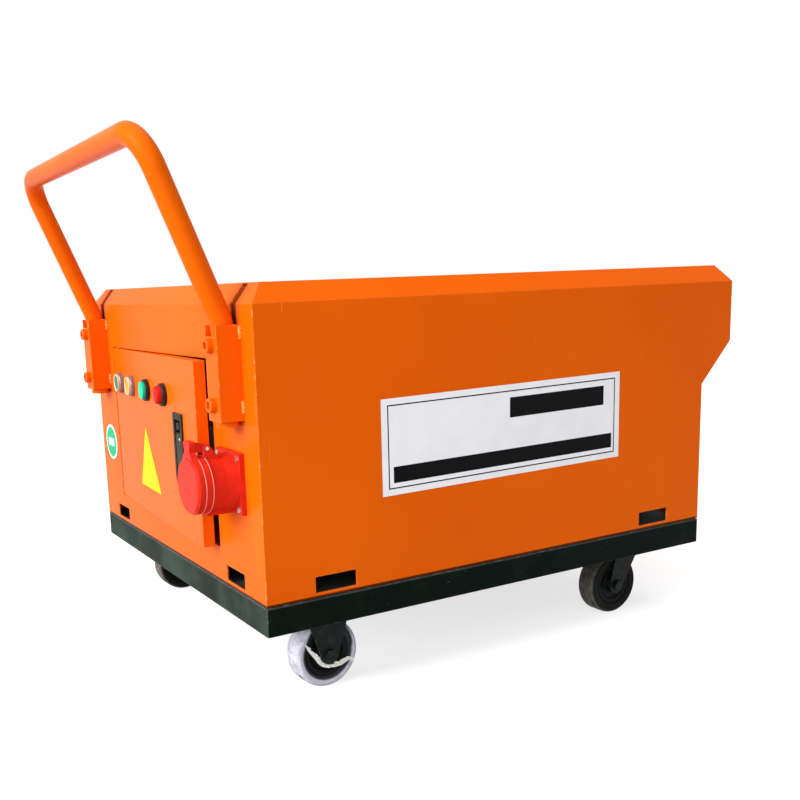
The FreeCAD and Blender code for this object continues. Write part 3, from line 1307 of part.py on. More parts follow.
pivots = []
for label, low, high, pin_low, pin_high in (
        ("low", above(s.door_bottom) - 6, above(s.door_bottom), above(s.door_bottom) - 6,
         door_zs[0] + boss_length - 2),
        ("high", above(s.door_top), above(s.door_top) + 6, door_zs[1] - boss_length + 2,
         above(s.door_top) + 6)):
    tab = box(f"pivot_tab_{label}", (wall_x + s.sheet, pivot_x + 12), (pivot_y - 14, pivot_y + 14),
              (low, high))
    pin = rod(f"pivot_pin_{label}", s.hinge_pin_radius, "z", pivot_x, pivot_y, pin_low, pin_high - pin_low)
    pivots.append(fuse(f"pivot_{label}", tab, pin))
node("door_pivots", group("pivot_pair", *pivots))

nut_low = wall_x + s.door_sheet
neck_end = wall_x + s.operator_depth - 16
bezel_face = wall_x - s.bezel_height
seat_face = wall_x - 3
stem_bore = s.button_stem + s.pin_clearance
well_radius = s.button_radius + s.running_clearance
neck = [(s.operator_hole, nut_low), (s.operator_hole + 5, nut_low), (s.operator_hole + 5, nut_low + 5),
        (s.operator_hole, nut_low + 5), (s.operator_hole, neck_end)]
bodies = []
for name, y in OPERATORS.items():
    if "lamp" in name:
        core = [(0, neck_end), (0, seat_face), (s.lens_radius, seat_face), (s.lens_radius, bezel_face)]
    else:
        core = [(0, neck_end), (0, neck_end - 6), (stem_bore, neck_end - 6), (stem_bore, wall_x - 1.5),
                (well_radius, wall_x - 1.5), (well_radius, bezel_face)]
    rim_chamfer = [(s.bezel_radius - 1.5, bezel_face), (s.bezel_radius, bezel_face + 1.5),
                   (s.bezel_radius, wall_x),
                   (s.operator_hole, wall_x)]
    shell = turned(f"{name}_shell", core + rim_chamfer + neck, "x", 0, y, operator_z)
    block = box(f"{name}_contact_block", (neck_end, wall_x + s.operator_depth), (y - 15, y + 15),
                (operator_z - 15, operator_z + 15))
    bodies.append(fuse(f"{name}_body", shell, block))
ajar("operator_bodies", group("operator_body_set", *bodies))
for name in ("green_lamp", "yellow_lamp"):
    lens_top = wall_x - s.lens_height
    lens = turned(f"{name}_lens", [(0, seat_face), (s.lens_radius, seat_face), (s.lens_radius, bezel_face),
                                   (s.lens_radius - 2, lens_top + 2), (s.lens_radius - 7, lens_top),
                                   (0, lens_top)],
                  "x", 0, OPERATORS[name], operator_z)
    ajar(name, fuse(f"{name}_dome", lens, rod(f"{name}_bulb", 5, "x", seat_face - 2, OPERATORS[name],
                                               operator_z, 2)))
stem_end = neck_end - 6 - s.button_travel - 2
cap_low = wall_x - 1.5 - s.button_travel - s.running_clearance
for name, height in (("green_button", s.green_button_height), ("red_button", s.red_button_height)):
    cap_top = wall_x - height
    cap = turned(f"{name}_cap", [(0, stem_end), (s.button_stem, stem_end), (s.button_stem, cap_low),
                                 (s.button_radius, cap_low), (s.button_radius, cap_top + 2),
                                 (s.button_radius - 2, cap_top), (0, cap_top)],
                 "x", 0, OPERATORS[name], operator_z)
    ajar(name, group(f"{name}_plunger", cap))

latch_face = plate("latch_face", "YZ", wall_x - s.latch_proud, wall_x,
                   [(latch_ys[0], latch_z1), (latch_ys[0], latch_z0 + 18), (latch_ys[0] + 10, latch_z0),
                    (latch_ys[1] - 10, latch_z0), (latch_ys[1], latch_z0 + 18), (latch_ys[1], latch_z1)])
latch_case = box("latch_case", (wall_x, well_back), well_ys, well_zs)
pocket_ys = (well_ys[0] + s.latch_wall, well_ys[1] - s.latch_wall)
pocket_zs = (well_zs[0] + s.latch_wall, well_zs[1] - s.latch_wall)
latch_well = box("latch_well", (wall_x - s.latch_proud - 1, wall_x + s.latch_pocket), pocket_ys, pocket_zs)
lever_front = wall_x - 3
lever_back = lever_front + s.lever_thickness
lever_pivot_x = lever_front + s.lever_thickness / 2
lever_pivot_z = above(s.lever_pivot_height)
lever_pin = rod("lever_pin", 2, "y", lever_pivot_x, pocket_ys[0], lever_pivot_z,
                pocket_ys[1] - pocket_ys[0])
lock_z = (lever_pivot_z + s.lever_thickness / 2 + pocket_zs[1]) / 2
lock = rod("lock_cylinder", 7, "x", wall_x - 3, latch_y, lock_z, s.latch_pocket + 3)
ajar("door_latch", fuse("latch", cut("latch_body", fuse("latch_blank", latch_face, latch_case), latch_well),
                        lever_pin, lock))
lever_ys = (latch_y - s.lever_width / 2, latch_y + s.lever_width / 2)
lever_end = pocket_zs[0] + 2
lever_blade = plate("lever_blade", "XZ", lever_ys[0], lever_ys[1],
                    [(lever_front, lever_end + 3), (lever_front + 3, lever_end),
                     (lever_back, lever_end + 2),
                     (lever_back, lever_pivot_z), (lever_front, lever_pivot_z)])
lever_eye = rod("lever_eye", s.lever_thickness / 2, "y", lever_pivot_x, lever_ys[0], lever_pivot_z,
                s.lever_width)
lever_bore = rod("lever_bore", 2 + s.pin_clearance, "y", lever_pivot_x, lever_ys[0] - 1, lever_pivot_z,
                 s.lever_width + 2)
ajar("latch_lever", cut("lever", fuse("lever_blank", lever_blade, lever_eye), lever_bore))

# Power inlet: a round housing with a keel on a square flange, contact pins, and a sprung lid with a
# finger tab, hinged between two ears on top
inlet_mouth = wall_x - s.inlet_reach
inlet_bore = s.inlet_radius - s.inlet_wall
collar_end = inlet_mouth + s.inlet_collar
flange_face = wall_x - s.inlet_flange
flange_half_y = s.inlet_flange_width / 2
flange_half_z = s.inlet_flange_height / 2
floor_face = wall_x - 4
housing = turned("inlet_turned",
                 [(inlet_bore, inlet_mouth), (s.lid_radius, inlet_mouth), (s.lid_radius, collar_end - 2),
                  (s.inlet_radius, collar_end), (s.inlet_radius, flange_face - 20),
                  (flange_half_y, flange_face),
                  (flange_half_y, wall_x), (inlet_bore, wall_x), (inlet_bore, wall_x + 22),
                  (0, wall_x + 22),
                  (0, floor_face), (inlet_bore, floor_face)], "x", 0, inlet_y, inlet_z)
inlet_flange = box("inlet_flange_blank", (flange_face, wall_x),
                   (inlet_y - flange_half_y, inlet_y + flange_half_y),
                   (inlet_z - flange_half_z, inlet_z + flange_half_z))
inlet_space = rod("inlet_flange_space", inlet_bore, "x", flange_face - 1, inlet_y, inlet_z,
                  floor_face - flange_face + 1)
keel_half = s.inlet_keel_width / 2
keel_blank = box("inlet_keel_blank", (collar_end, flange_face), (inlet_y - keel_half, inlet_y + keel_half),
                 (inlet_z - flange_half_z, inlet_z - s.inlet_radius + s.inlet_wall))
keel = cut("inlet_keel", keel_blank, rod("inlet_keel_space", s.inlet_radius - s.inlet_wall / 2, "x",
                                         inlet_mouth,
                                         inlet_y, inlet_z, s.inlet_reach))
lid_x = inlet_mouth + s.lid_hinge_back
lid_z = inlet_z + s.inlet_radius + s.lid_hinge_rise
eye_radius = 2 * s.lid_pin_radius
ear_foot = inlet_z + s.inlet_radius - s.inlet_wall
ears = []
half_gap = s.inlet_ear_gap / 2
ear_out = half_gap + s.inlet_ear
for side, y in (("near", inlet_y - ear_out), ("far", inlet_y + half_gap)):
    ears.append(plate(f"inlet_ear_{side}", "XZ", y, y + s.inlet_ear,
                      [(lid_x - eye_radius, ear_foot), (inlet_mouth + s.inlet_ear_reach, ear_foot),
                       (lid_x + eye_radius * 0.7, lid_z + eye_radius * 0.7), (lid_x, lid_z + eye_radius),
                       (lid_x - eye_radius * 0.7, lid_z + eye_radius * 0.7), (lid_x - eye_radius, lid_z)]))
lid_pin_start = inlet_y - ear_out - 1
lid_pin_length = 2 * ear_out + 2
lid_pin_hole = rod("inlet_lid_pin_hole", s.lid_pin_radius, "y", lid_x, lid_pin_start, lid_z, lid_pin_length)
screw_places = [(inlet_y + dy * s.inlet_screw_pitch_y / 2, inlet_z + dz * s.inlet_screw_pitch_z / 2)
                for dy in (-1, 1) for dz in (-1, 1)]
inlet_screws = []
inlet_holes = []
for i, (y, z) in enumerate(screw_places):
    shank = rod(f"inlet_screw_shank_{i}", 2.5, "x", flange_face, y, z, s.inlet_flange + s.sheet)
    head = rod(f"inlet_screw_head_{i}", 5, "x", flange_face - 3, y, z, 3)
    inlet_screws.append(fuse(f"inlet_screw_{i}", shank, head))
    inlet_holes.append(rod(f"inlet_screw_hole_{i}", 2.5, "x", flange_face, y, z, s.inlet_flange + s.sheet))
inlet_hole_set = fuse("inlet_screw_holes", *inlet_holes)
node("inlet_screws", group("inlet_screw_set", *inlet_screws))
node("inlet_housing", cut("inlet", fuse("inlet_moulded", housing, cut("inlet_plate", inlet_flange,
                                                                      inlet_space), keel,
                                        *ears), lid_pin_hole, inlet_hole_set))
contact_length = 44
inlet_pins = []
for i in range(5):
    angle = 90 + 72 * i
    inlet_pins.append(rod(f"inlet_pin_{i}", s.inlet_pin_radius, "x", floor_face - contact_length,
                          inlet_y + s.inlet_pin_circle * cosine(angle),
                          inlet_z + s.inlet_pin_circle * sine(angle),
                          contact_length))
node("inlet_pins", group("inlet_pin_set", *inlet_pins))
pins.append(rod("lid_pin", s.lid_pin_radius, "y", lid_x, lid_pin_start, lid_z, lid_pin_length))
node("hinge_pins", group("hinge_pin_set", *pins))

lid_back = inlet_mouth - s.running_clearance
lid_front = inlet_mouth - s.lid_thickness
lid_disc = turned("lid_disc", [(0, lid_front), (s.lid_radius - 4, lid_front), (s.lid_radius, lid_front + 4),
                               (s.lid_radius, lid_back), (s.lid_radius - 5, lid_back),
                               (s.lid_radius - 5, lid_back - 5), (0, lid_back - 5)], "x", 0, inlet_y,
                  inlet_z)
tab_half = s.lid_tab_width / 2
tab_root = inlet_z + s.lid_radius - 8
tab_top = inlet_z + s.lid_radius + s.lid_tab_rise
tab_side = [(1.7 * tab_half, tab_root), (0.8 * tab_half, tab_root + 17), (tab_half, tab_top - 8),
            (tab_half, tab_top - 3), (tab_half - 3, tab_top)]
lid_tab = plate("lid_tab", "YZ", lid_front + 2, lid_back,
                [(inlet_y + y, z) for y, z in tab_side] + [(inlet_y - y, z) for y, z in reversed(tab_side)])
arm_half = s.lid_arm_width / 2
cheek = 3
arm_top = tab_top - cheek
lid_arm = plate("lid_arm", "XZ", inlet_y - arm_half, inlet_y + arm_half,
                [(lid_front + cheek, lid_z - eye_radius), (lid_x, lid_z - eye_radius),
                 (lid_x, lid_z + eye_radius),
                 (lid_back, arm_top), (lid_front + cheek, arm_top)])
arm_space = box("lid_arm_space", (lid_back, lid_x), (inlet_y - arm_half + cheek,
                                                     inlet_y + arm_half - cheek),
                (lid_z - eye_radius - 1, arm_top + 1))
lid_eye = rod("lid_eye", eye_radius, "y", lid_x, inlet_y - arm_half, lid_z, s.lid_arm_width)
lid_bore = rod("lid_bore", s.lid_pin_radius + s.pin_clearance, "y", lid_x, lid_pin_start, lid_z,
               lid_pin_length)
node("inlet_lid", cut("lid", fuse("lid_moulded", lid_disc, lid_tab, cut("lid_cheeks", lid_arm, arm_space),
                                  lid_eye),
                      lid_bore))


# Push handle: one bent tube held in two channel brackets by two bolts each
web_x = wall_x - bracket_depth
bracket_half = s.handle_tube / 2 + s.bracket_side_room
bolt_reach = bracket_depth + s.sheet + s.clamp_nut_length
head_face = web_x - s.clamp_head_length
handle_bolts = []
bolt_hole_rods = []
brackets = []
for side, sign in (("near", -1), ("far", 1)):
    y = sign * handle_y
    for i, height in enumerate((s.clamp_bolt_low, s.clamp_bolt_high)):
        z = above(height)
        label = f"{side}_handle_bolt_{i}"
        shank = rod(label + "_shank", s.clamp_bolt_radius, "x", web_x, y, z, bolt_reach)
        head = turned(label + "_head",
                      [(0, head_face), (s.clamp_head_radius - 1, head_face),
                       (s.clamp_head_radius, head_face + 1),
                       (s.clamp_head_radius, web_x), (0, web_x)], "x", 0, y, z)
        socket = hexagon(label + "_socket", s.clamp_socket_radius, "x", head_face - 1, y, z,
                         s.clamp_socket_depth + 1)
        nut = hexagon(label + "_nut", s.hexagon_share * s.clamp_bolt_radius, "x", wall_x + s.sheet, y, z,
                      s.clamp_nut_length)
        handle_bolts.append(cut(label, fuse(label + "_blank", shank, head, nut), socket))
        bolt_hole_rods.append(rod(f"{label}_hole", s.clamp_bolt_radius, "x", web_x - 1, y, z, bolt_reach))
handle_holes = fuse("handle_bolt_holes", *bolt_hole_rods)
for side, sign in (("near", -1), ("far", 1)):
    y = sign * handle_y
    out = bracket_half + s.bracket_wall
    channel = plate(f"{side}_bracket_channel", "XY", above(s.bracket_bottom), above(s.bracket_top),
                    [(wall_x, y - out), (web_x, y - out), (web_x, y + out), (wall_x, y + out),
                     (wall_x, y + bracket_half), (web_x + s.bracket_wall, y + bracket_half),
                     (web_x + s.bracket_wall, y - bracket_half), (wall_x, y - bracket_half)])
    mouth_cut = box(f"{side}_bracket_mouth", (web_x - 1, web_x + s.bracket_wall + 1),
                    (y - bracket_half, y + bracket_half),
                    (above(s.bracket_web_top), above(s.bracket_top) + 1))
    brackets.append(cut(f"{side}_bracket", channel, mouth_cut, handle_holes))
node("handle_bolts", group("handle_bolt_set", *handle_bolts))
node("handle_brackets", group("bracket_pair", *brackets))


def ring_face(centre, along):
    """The tube's cross-section at a point."""
    radius = float(s.handle_tube / 2)
    outer, inner = [Part.Face(Part.Wire(Part.Circle(centre, along, size).toShape()))
                    for size in (radius, radius - float(s.handle_wall))]
    return outer.cut(inner).Faces[0]


def bent_tube(points, radii):
    """The handle's tube: straight runs joined by tangent bends."""
    pieces = []
    start = points[0]
    for before, corner, after, bend in zip(points, points[1:], points[2:], radii):
        incoming = (before - corner).normalize()
        outgoing = (after - corner).normalize()
        half_angle = incoming.getAngle(outgoing) / 2
        setback = bend / math.tan(half_angle)
        middle = (incoming + outgoing).normalize()
        centre = corner + middle * (bend / math.sin(half_angle))
        bend_start = corner + incoming * setback
        pieces.append(ring_face(start, incoming).extrude(bend_start - start))
        turn = 180 - 2 * math.degrees(half_angle)
        pieces.append(ring_face(bend_start, incoming).revolve(centre, incoming.cross(outgoing) * -1, turn))
        start = corner + outgoing * setback
    pieces.append(ring_face(start, points[-1] - start).extrude(points[-1] - start))
    return pieces[0].multiFuse(pieces[1:]).removeSplitter()


def handle_points():
    leg = float(leg_x)
    y = float(handle_y)
    low = float(above(s.handle_leg_bottom))
    bend = float(above(s.handle_bend_height))
    high = float(above(s.handle_height))
    bar = float(bar_x)
    return [V(leg, -y, low), V(leg, -y, bend), V(bar, -y, high), V(bar, y, high), V(leg, y, bend),
            V(leg, y, low)]


handle_radii = [float(r) for r in (s.handle_low_radius, s.handle_top_radius, s.handle_top_radius,
                                   s.handle_low_radius)]
handle_blank = doc.addObject("Part::Feature", "handle_tube_wall")
handle_blank.Shape = bent_tube(handle_points(), handle_radii)
node("push_handle", cut("handle", handle_blank, handle_holes))
node("control_end_panel", cut("control_end", control_blank, *reliefs, handle_holes, inlet_hole_set))

# Check every object, then write one file for each sub-part
doc.recompute()
faults = [obj.Name for obj in doc.Objects if {"Invalid", "Error"} & set(obj.State)]
faults += [label for label, obj in NODES.items() if obj.Shape.isNull() or not obj.Shape.isValid()]
if faults:
    raise RuntimeError(f"these objects failed: {faults}")
os.makedirs("parts", exist_ok=True)
for label, obj in NODES.items():
    obj.Shape.exportStep(f"parts/{label}.step")
    print(label, len(obj.Shape.Solids), round(obj.Shape.Volume))
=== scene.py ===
# Screw concrete pump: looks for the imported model. Metres, in the model's own frame: -X is the
# control end with the push handle, +X the hopper end with the outlet, the floor is z = 0.
import bpy
import math
import numpy as np
from mathutils import Matrix, Vector


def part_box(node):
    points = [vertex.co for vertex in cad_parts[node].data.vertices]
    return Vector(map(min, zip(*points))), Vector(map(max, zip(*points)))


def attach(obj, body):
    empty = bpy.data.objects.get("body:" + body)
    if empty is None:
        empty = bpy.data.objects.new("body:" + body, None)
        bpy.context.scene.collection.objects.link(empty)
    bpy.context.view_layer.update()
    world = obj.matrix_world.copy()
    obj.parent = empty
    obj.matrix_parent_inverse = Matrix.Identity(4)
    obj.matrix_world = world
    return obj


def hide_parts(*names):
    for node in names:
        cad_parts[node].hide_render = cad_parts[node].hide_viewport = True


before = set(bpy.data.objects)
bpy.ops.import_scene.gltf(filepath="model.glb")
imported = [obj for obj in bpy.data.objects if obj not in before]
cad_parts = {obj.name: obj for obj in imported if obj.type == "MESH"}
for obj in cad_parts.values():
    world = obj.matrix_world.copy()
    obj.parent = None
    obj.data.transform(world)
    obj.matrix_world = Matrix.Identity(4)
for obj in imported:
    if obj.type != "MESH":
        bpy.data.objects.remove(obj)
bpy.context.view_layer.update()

# The camera stands off the near control corner at about waist height, turned towards the
# machine's middle and tipped a little down. Its frame is square, and off its own centre.
CAMERA_PLACE = Vector((-1.1477, -1.8064, 0.7075))
CAMERA_TURN = math.radians(28.27)
CAMERA_DIP = math.radians(10.63)
CAMERA_ROLL = math.radians(2.26)
FRAME_SIDE = 800
FOCAL_SHARE = 968.8 / FRAME_SIDE
CENTRE_SHARE = (314.3 / FRAME_SIDE, 467.1 / FRAME_SIDE)


def aim_camera():
    """Looks along the turn and the dip, rolled about that line. The lens shift moves the frame
    off the lens's own centre."""
    forward = Vector((math.sin(CAMERA_TURN) * math.cos(CAMERA_DIP),
                      math.cos(CAMERA_TURN) * math.cos(CAMERA_DIP), -math.sin(CAMERA_DIP)))
    right = forward.cross(Vector((0, 0, 1))).normalized()
    right = Matrix.Rotation(CAMERA_ROLL, 3, forward) @ right
    up = right.cross(forward)
    lens = bpy.data.cameras.new("camera")
    lens.sensor_width = 36
    lens.lens = FOCAL_SHARE * lens.sensor_width
    lens.shift_x = 0.5 - CENTRE_SHARE[0]
    lens.shift_y = CENTRE_SHARE[1] - 0.5
    lens.clip_end = 100
    camera = bpy.data.objects.new("camera", lens)
    bpy.context.scene.collection.objects.link(camera)
    axes = Matrix((right, up, -forward)).transposed().to_4x4()
    camera.matrix_world = Matrix.Translation(CAMERA_PLACE) @ axes
    bpy.context.scene.camera = camera


aim_camera()


# The base frame is 50 mm square tube with mitred, welded corners, four cross tubes and a floor
# sheet, in a dark green-black enamel that shows dust and pale scuffs, with painted highlights on
# its edges.
class Wire:
    """A shader value. Sums, differences and products of wires are written as expressions."""

    def __init__(self, finish, socket):
        self.finish = finish
        self.socket = socket

    def maths(self, operation, *terms):
        return self.finish.node("ShaderNodeMath", {"operation": operation}, dict(enumerate(terms)))

    def __add__(self, other):
        return self.maths("ADD", self, other)

    __radd__ = __add__

    def __sub__(self, other):
        return self.maths("SUBTRACT", self, other)

    def __rsub__(self, other):
        return self.maths("SUBTRACT", other, self)

    def __mul__(self, other):
        return self.maths("MULTIPLY", self, other)

    __rmul__ = __mul__

    def above(self, low, high):
        """0 up to low, 1 from high on, and smooth between them."""
        return self.finish.node("ShaderNodeMapRange", {"interpolation_type": "SMOOTHSTEP"},
                                {"Value": self, "From Min": low, "From Max": high})

    def below(self, low, high):
        return 1 - self.above(low, high)


class Finish:
    """A material under work: its shader, its coordinates and the patterns that vary it."""

    def __init__(self, name):
        self.material = bpy.data.materials.new(name)
        self.material.use_nodes = True
        self.tree = self.material.node_tree
        self.shader = self.tree.nodes["Principled BSDF"]
        self.place = self.node("ShaderNodeTexCoord", {}, {}, "Object")

    def node(self, kind, settings, inputs, output=0):
        """Adds a node: its settings first, then a value or a wire for each of its sockets."""
        node = self.tree.nodes.new(kind)
        for name, value in settings.items():
            setattr(node, name, value)
        for name, value in inputs.items():
            self.feed(node.inputs[name], value)
        return Wire(self, node.outputs[output])

    def feed(self, socket, value):
        if isinstance(value, Wire):
            self.tree.links.new(value.socket, socket)
        elif isinstance(value, tuple) and socket.type == "RGBA":
            socket.default_value = (*value, 1)
        else:
            socket.default_value = value

    def set(self, **inputs):
        """Feeds the shader's own sockets, named with _ for a space."""
        for name, value in inputs.items():
            self.feed(self.shader.inputs[name.replace("_", " ")], value)

    def mix(self, share, low, high):
        """A colour between two colours."""
        return self.node("ShaderNodeMix", {"data_type": "RGBA"}, {0: share, 6: low, 7: high}, 2)

    def part(self, axis):
        """One coordinate of the place, in metres."""
        return self.node("ShaderNodeSeparateXYZ", {}, {0: self.place}, "XYZ".index(axis))

    def noise(self, size, detail=2.0, stretch=(1, 1, 1), shift=(0, 0, 0)):
        """Cloudy noise whose features are about size metres across, times stretch."""
        scale = tuple(1 / (size * times) for times in stretch)
        moved = self.node("ShaderNodeMapping", {},
                          {"Vector": self.place, "Location": shift, "Scale": scale})
        return self.node("ShaderNodeTexNoise", {},
                         {"Vector": moved, "Scale": 1.0, "Detail": detail})

    def edges(self, radius):
        """How far a bevel of that radius would turn the surface: 0 on a flat face, and more the
        nearer a sharp edge is."""
        soft = self.node("ShaderNodeBevel", {"samples": 4}, {"Radius": radius})
        true = self.node("ShaderNodeNewGeometry", {}, {}, "True Normal")
        return 1 - self.node("ShaderNodeVectorMath", {"operation": "DOT_PRODUCT"},
                             {0: soft, 1: true}, "Value")

    def facing(self, axis):
        """How far the surface faces along an axis, from -1 to 1."""
        normal = self.node("ShaderNodeNewGeometry", {}, {}, "True Normal")
        return self.node("ShaderNodeSeparateXYZ", {}, {0: normal}, "XYZ".index(axis))

    def relief(self, height, distance, edge=0.0):
        """Bumps of a height between 0 and 1 times a distance in metres, over softened edges."""
        inputs = {"Height": height, "Distance": distance, "Strength": 1.0}
        if edge:
            inputs["Normal"] = self.node("ShaderNodeBevel", {"samples": 4}, {"Radius": edge})
        self.set(Normal=self.node("ShaderNodeBump", {}, inputs))
        return self


def dress(finish, *names):
    """Gives CAD nodes or new pieces a finish in place of their plain one."""
    for name in names:
        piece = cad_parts.get(name) or bpy.data.objects[name]
        piece.data.materials.clear()
        piece.data.materials.append(finish.material)


ENAMEL = (0.0016, 0.0050, 0.0032)
# The dust colour also paints sheen on the -X faces, and the scuff colour also paints edge
# highlights.
ENAMEL_DUST_AND_SHEEN = (0.046, 0.066, 0.053)
ENAMEL_SCUFF_AND_HIGHLIGHT = (0.30, 0.32, 0.30)
FRAME_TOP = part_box("side_rails")[1].z


def frame_enamel():
    """Dust lies on the upper faces. The faces towards the control end are paler in clouds: dust,
    and painted sheen on the side that the key light falls on. Scuffs are streaks, specks and
    nicked edges. The pale line on every edge and on the ledge that the body stands on is painted
    highlight."""
    paint = Finish("frame_enamel")
    cloud = paint.noise(0.09, 5)
    streaks = (paint.noise(0.010, 3, (7, 7, 1)).above(0.62, 0.72)
               * paint.noise(0.16, 2).above(0.48, 0.62))
    specks = (paint.noise(0.0035, 1).above(0.76, 0.79)
              * paint.noise(0.07, 2, shift=(4, 0, 2)).above(0.5, 0.6))
    nicks = paint.edges(0.0025).above(0.05, 0.2) * paint.noise(0.011, 3).above(0.50, 0.58)
    # Painted highlight: a pale line along every edge.
    rim = paint.edges(0.0016).above(0.0667, 0.2) * 0.22
    # Paler clouds on the faces towards -X: dust, and painted sheen where the key light falls.
    end_dust_and_sheen = (paint.facing("X") * -1).above(0.5, 1.0) * (0.15 + cloud.above(0.3, 0.7) * 0.7)
    # Painted highlight: a pale line along the top of the frame under the body.
    ledge = (paint.part("Z").above(FRAME_TOP - 0.0032, FRAME_TOP - 0.0022)
             * (0.04 + cloud * 0.16))
    dust = (cloud.above(0.45, 0.8) * 0.10 + streaks * 0.2
            + paint.facing("Z").above(0.4, 1.0) * 0.3 + end_dust_and_sheen)
    shade = paint.mix(dust, ENAMEL, ENAMEL_DUST_AND_SHEEN)
    shade = paint.mix(nicks * 0.5 + specks * 0.5 + rim + ledge, shade, ENAMEL_SCUFF_AND_HIGHLIGHT)
    paint.set(Base_Color=shade, Roughness=0.35 + cloud * 0.25 + dust * 0.3,
              Specular_IOR_Level=0.03)
    return paint.relief(paint.noise(0.004, 2), 0.00006, 0.0018)


dress(frame_enamel(), "side_rails", "end_rails", "cross_members", "deck_plate", "caster_mounts",
      "hopper_saddles", "drive_cradle")

# Each caster is a pressed fork round a solid-tyred wheel: a black rubber tread, grey with dust
# where it rolls, moulded on a dished hub with a bore for the axle bolt. The machine's other bolts,
# screws and hinge pins are zinc-plated steel, but for the handle's bolts, painted with the body.
CASTER_BLACK = (0.004, 0.008, 0.006)
CASTER_DUST = (0.05, 0.06, 0.055)
CASTER_BARE = (0.22, 0.23, 0.22)
ZINC_BRIGHT = (0.62, 0.62, 0.60)
ZINC_DULL = (0.42, 0.41, 0.38)
RUBBER = (0.005, 0.0055, 0.006)
ROAD_DUST = (0.230, 0.220, 0.185)
WRAP_FILM = (0.64, 0.63, 0.74)
HUB_BLACK = (0.005, 0.006, 0.006)
HUB_DUST = (0.030, 0.032, 0.030)
# The pale edge colour is a painted highlight.
HUB_RIM_HIGHLIGHT = (0.16, 0.17, 0.17)


def caster_steel():
    steel = Finish("caster_steel")
    dust = steel.noise(0.02, 5).above(0.45, 0.8) * 0.5
    wear = steel.edges(0.0015).above(0.05, 0.2) * steel.noise(0.006, 2).above(0.45, 0.6)
    shade = steel.mix(wear * 0.5, steel.mix(dust, CASTER_BLACK, CASTER_DUST), CASTER_BARE)
    steel.set(Base_Color=shade, Roughness=0.35 + dust * 0.5, Metallic=wear * 0.6,
              Specular_IOR_Level=0.10)
    return steel.relief(steel.noise(0.003, 2), 0.00005, 0.001)


def zinc_plate():
    steel = Finish("zinc_plate")
    bloom = steel.noise(0.006, 4)
    steel.set(Base_Color=steel.mix(bloom.above(0.35, 0.75), ZINC_BRIGHT, ZINC_DULL),
              Roughness=0.28 + bloom * 0.25, Metallic=1.0)
    return steel.relief(steel.noise(0.0015, 2), 0.00002, 0.0006)


dress(caster_steel(), "fixed_forks", "swivel_fork_near", "swivel_fork_far", "swivel_plates",
      "fixed_axles", "swivel_axle_near", "swivel_axle_far")
dress(zinc_plate(), "machine_bolts", "inlet_screws", "door_pivots", "hinge_pins")


def skin(name, grid, close_rows=False):
    """A smooth mesh over a grid of points, rows along it and columns round it. The last column
    joins the first. The last row joins the first too, or else a fan closes each end row to its
    middle."""
    rows, columns = grid.shape[:2]
    row = np.arange(rows if close_rows else rows - 1)[:, None]
    column = np.arange(columns)[None, :]
    next_row = (row + 1) % rows
    next_column = (column + 1) % columns
    quads = np.stack([row * columns + column, row * columns + next_column,
                      next_row * columns + next_column, next_row * columns + column], axis=-1)
    faces = quads.reshape(-1, 4).tolist()
    points = grid.reshape(-1, 3)
    if not close_rows:
        ring = np.arange(columns)
        middle = np.full(columns, rows * columns)
        last_row = (rows - 1) * columns
        faces += np.stack([np.roll(ring, -1), ring, middle], axis=1).tolist()
        faces += np.stack([last_row + ring, last_row + np.roll(ring, -1), middle + 1],
                          axis=1).tolist()
        points = np.concatenate([points, [grid[0].mean(axis=0), grid[-1].mean(axis=0)]])
    mesh = bpy.data.meshes.new(name)
    mesh.from_pydata(points.tolist(), [], faces)
    mesh.shade_smooth()
    piece = bpy.data.objects.new(name, mesh)
    bpy.context.scene.collection.objects.link(piece)
    piece.modifiers.new("even_faces", "WEIGHTED_NORMAL")
    return piece


def lathe(name, profile, centre, axis=(0, 1, 0), ring=True, steps=96):
    """A profile of (radius, distance along the axis) corners carried round a level axis through
    a point. A ring's profile is a closed outline. Another's starts and ends at the axis."""
    radius, along = np.array(profile, float).T
    axis = np.array(axis, float) / np.linalg.norm(axis)
    across = np.cross([0, 0, 1], axis)
    across /= np.linalg.norm(across)
    angle = np.linspace(0, 2 * math.pi, steps, endpoint=False)
    local = np.stack([radius[:, None] * np.cos(angle), radius[:, None] * np.sin(angle),
                      np.repeat(along[:, None], steps, axis=1)], axis=-1)
    axes = np.stack([across, np.cross(axis, across), axis])
    return skin(name, local @ axes + np.array(centre), close_rows=ring)


def rounded(corners, radius, steps=4):
    """A closed outline with each corner turned into a curve: it leaves one side and joins the
    next at that radius from the corner, or at under half of a shorter side."""
    points = np.array(corners, float)
    before = np.roll(points, 1, axis=0) - points
    after = np.roll(points, -1, axis=0) - points
    before_long = np.linalg.norm(before, axis=1, keepdims=True)
    after_long = np.linalg.norm(after, axis=1, keepdims=True)
    reach = np.minimum(radius, 0.45 * np.minimum(before_long, after_long))
    start = (points + before / before_long * reach)[:, None]
    end = (points + after / after_long * reach)[:, None]
    share = np.linspace(0, 1, steps)[None, :, None]
    bend = ((1 - share) ** 2 * start + 2 * share * (1 - share) * points[:, None]
            + share ** 2 * end)
    return bend.reshape(-1, 2)


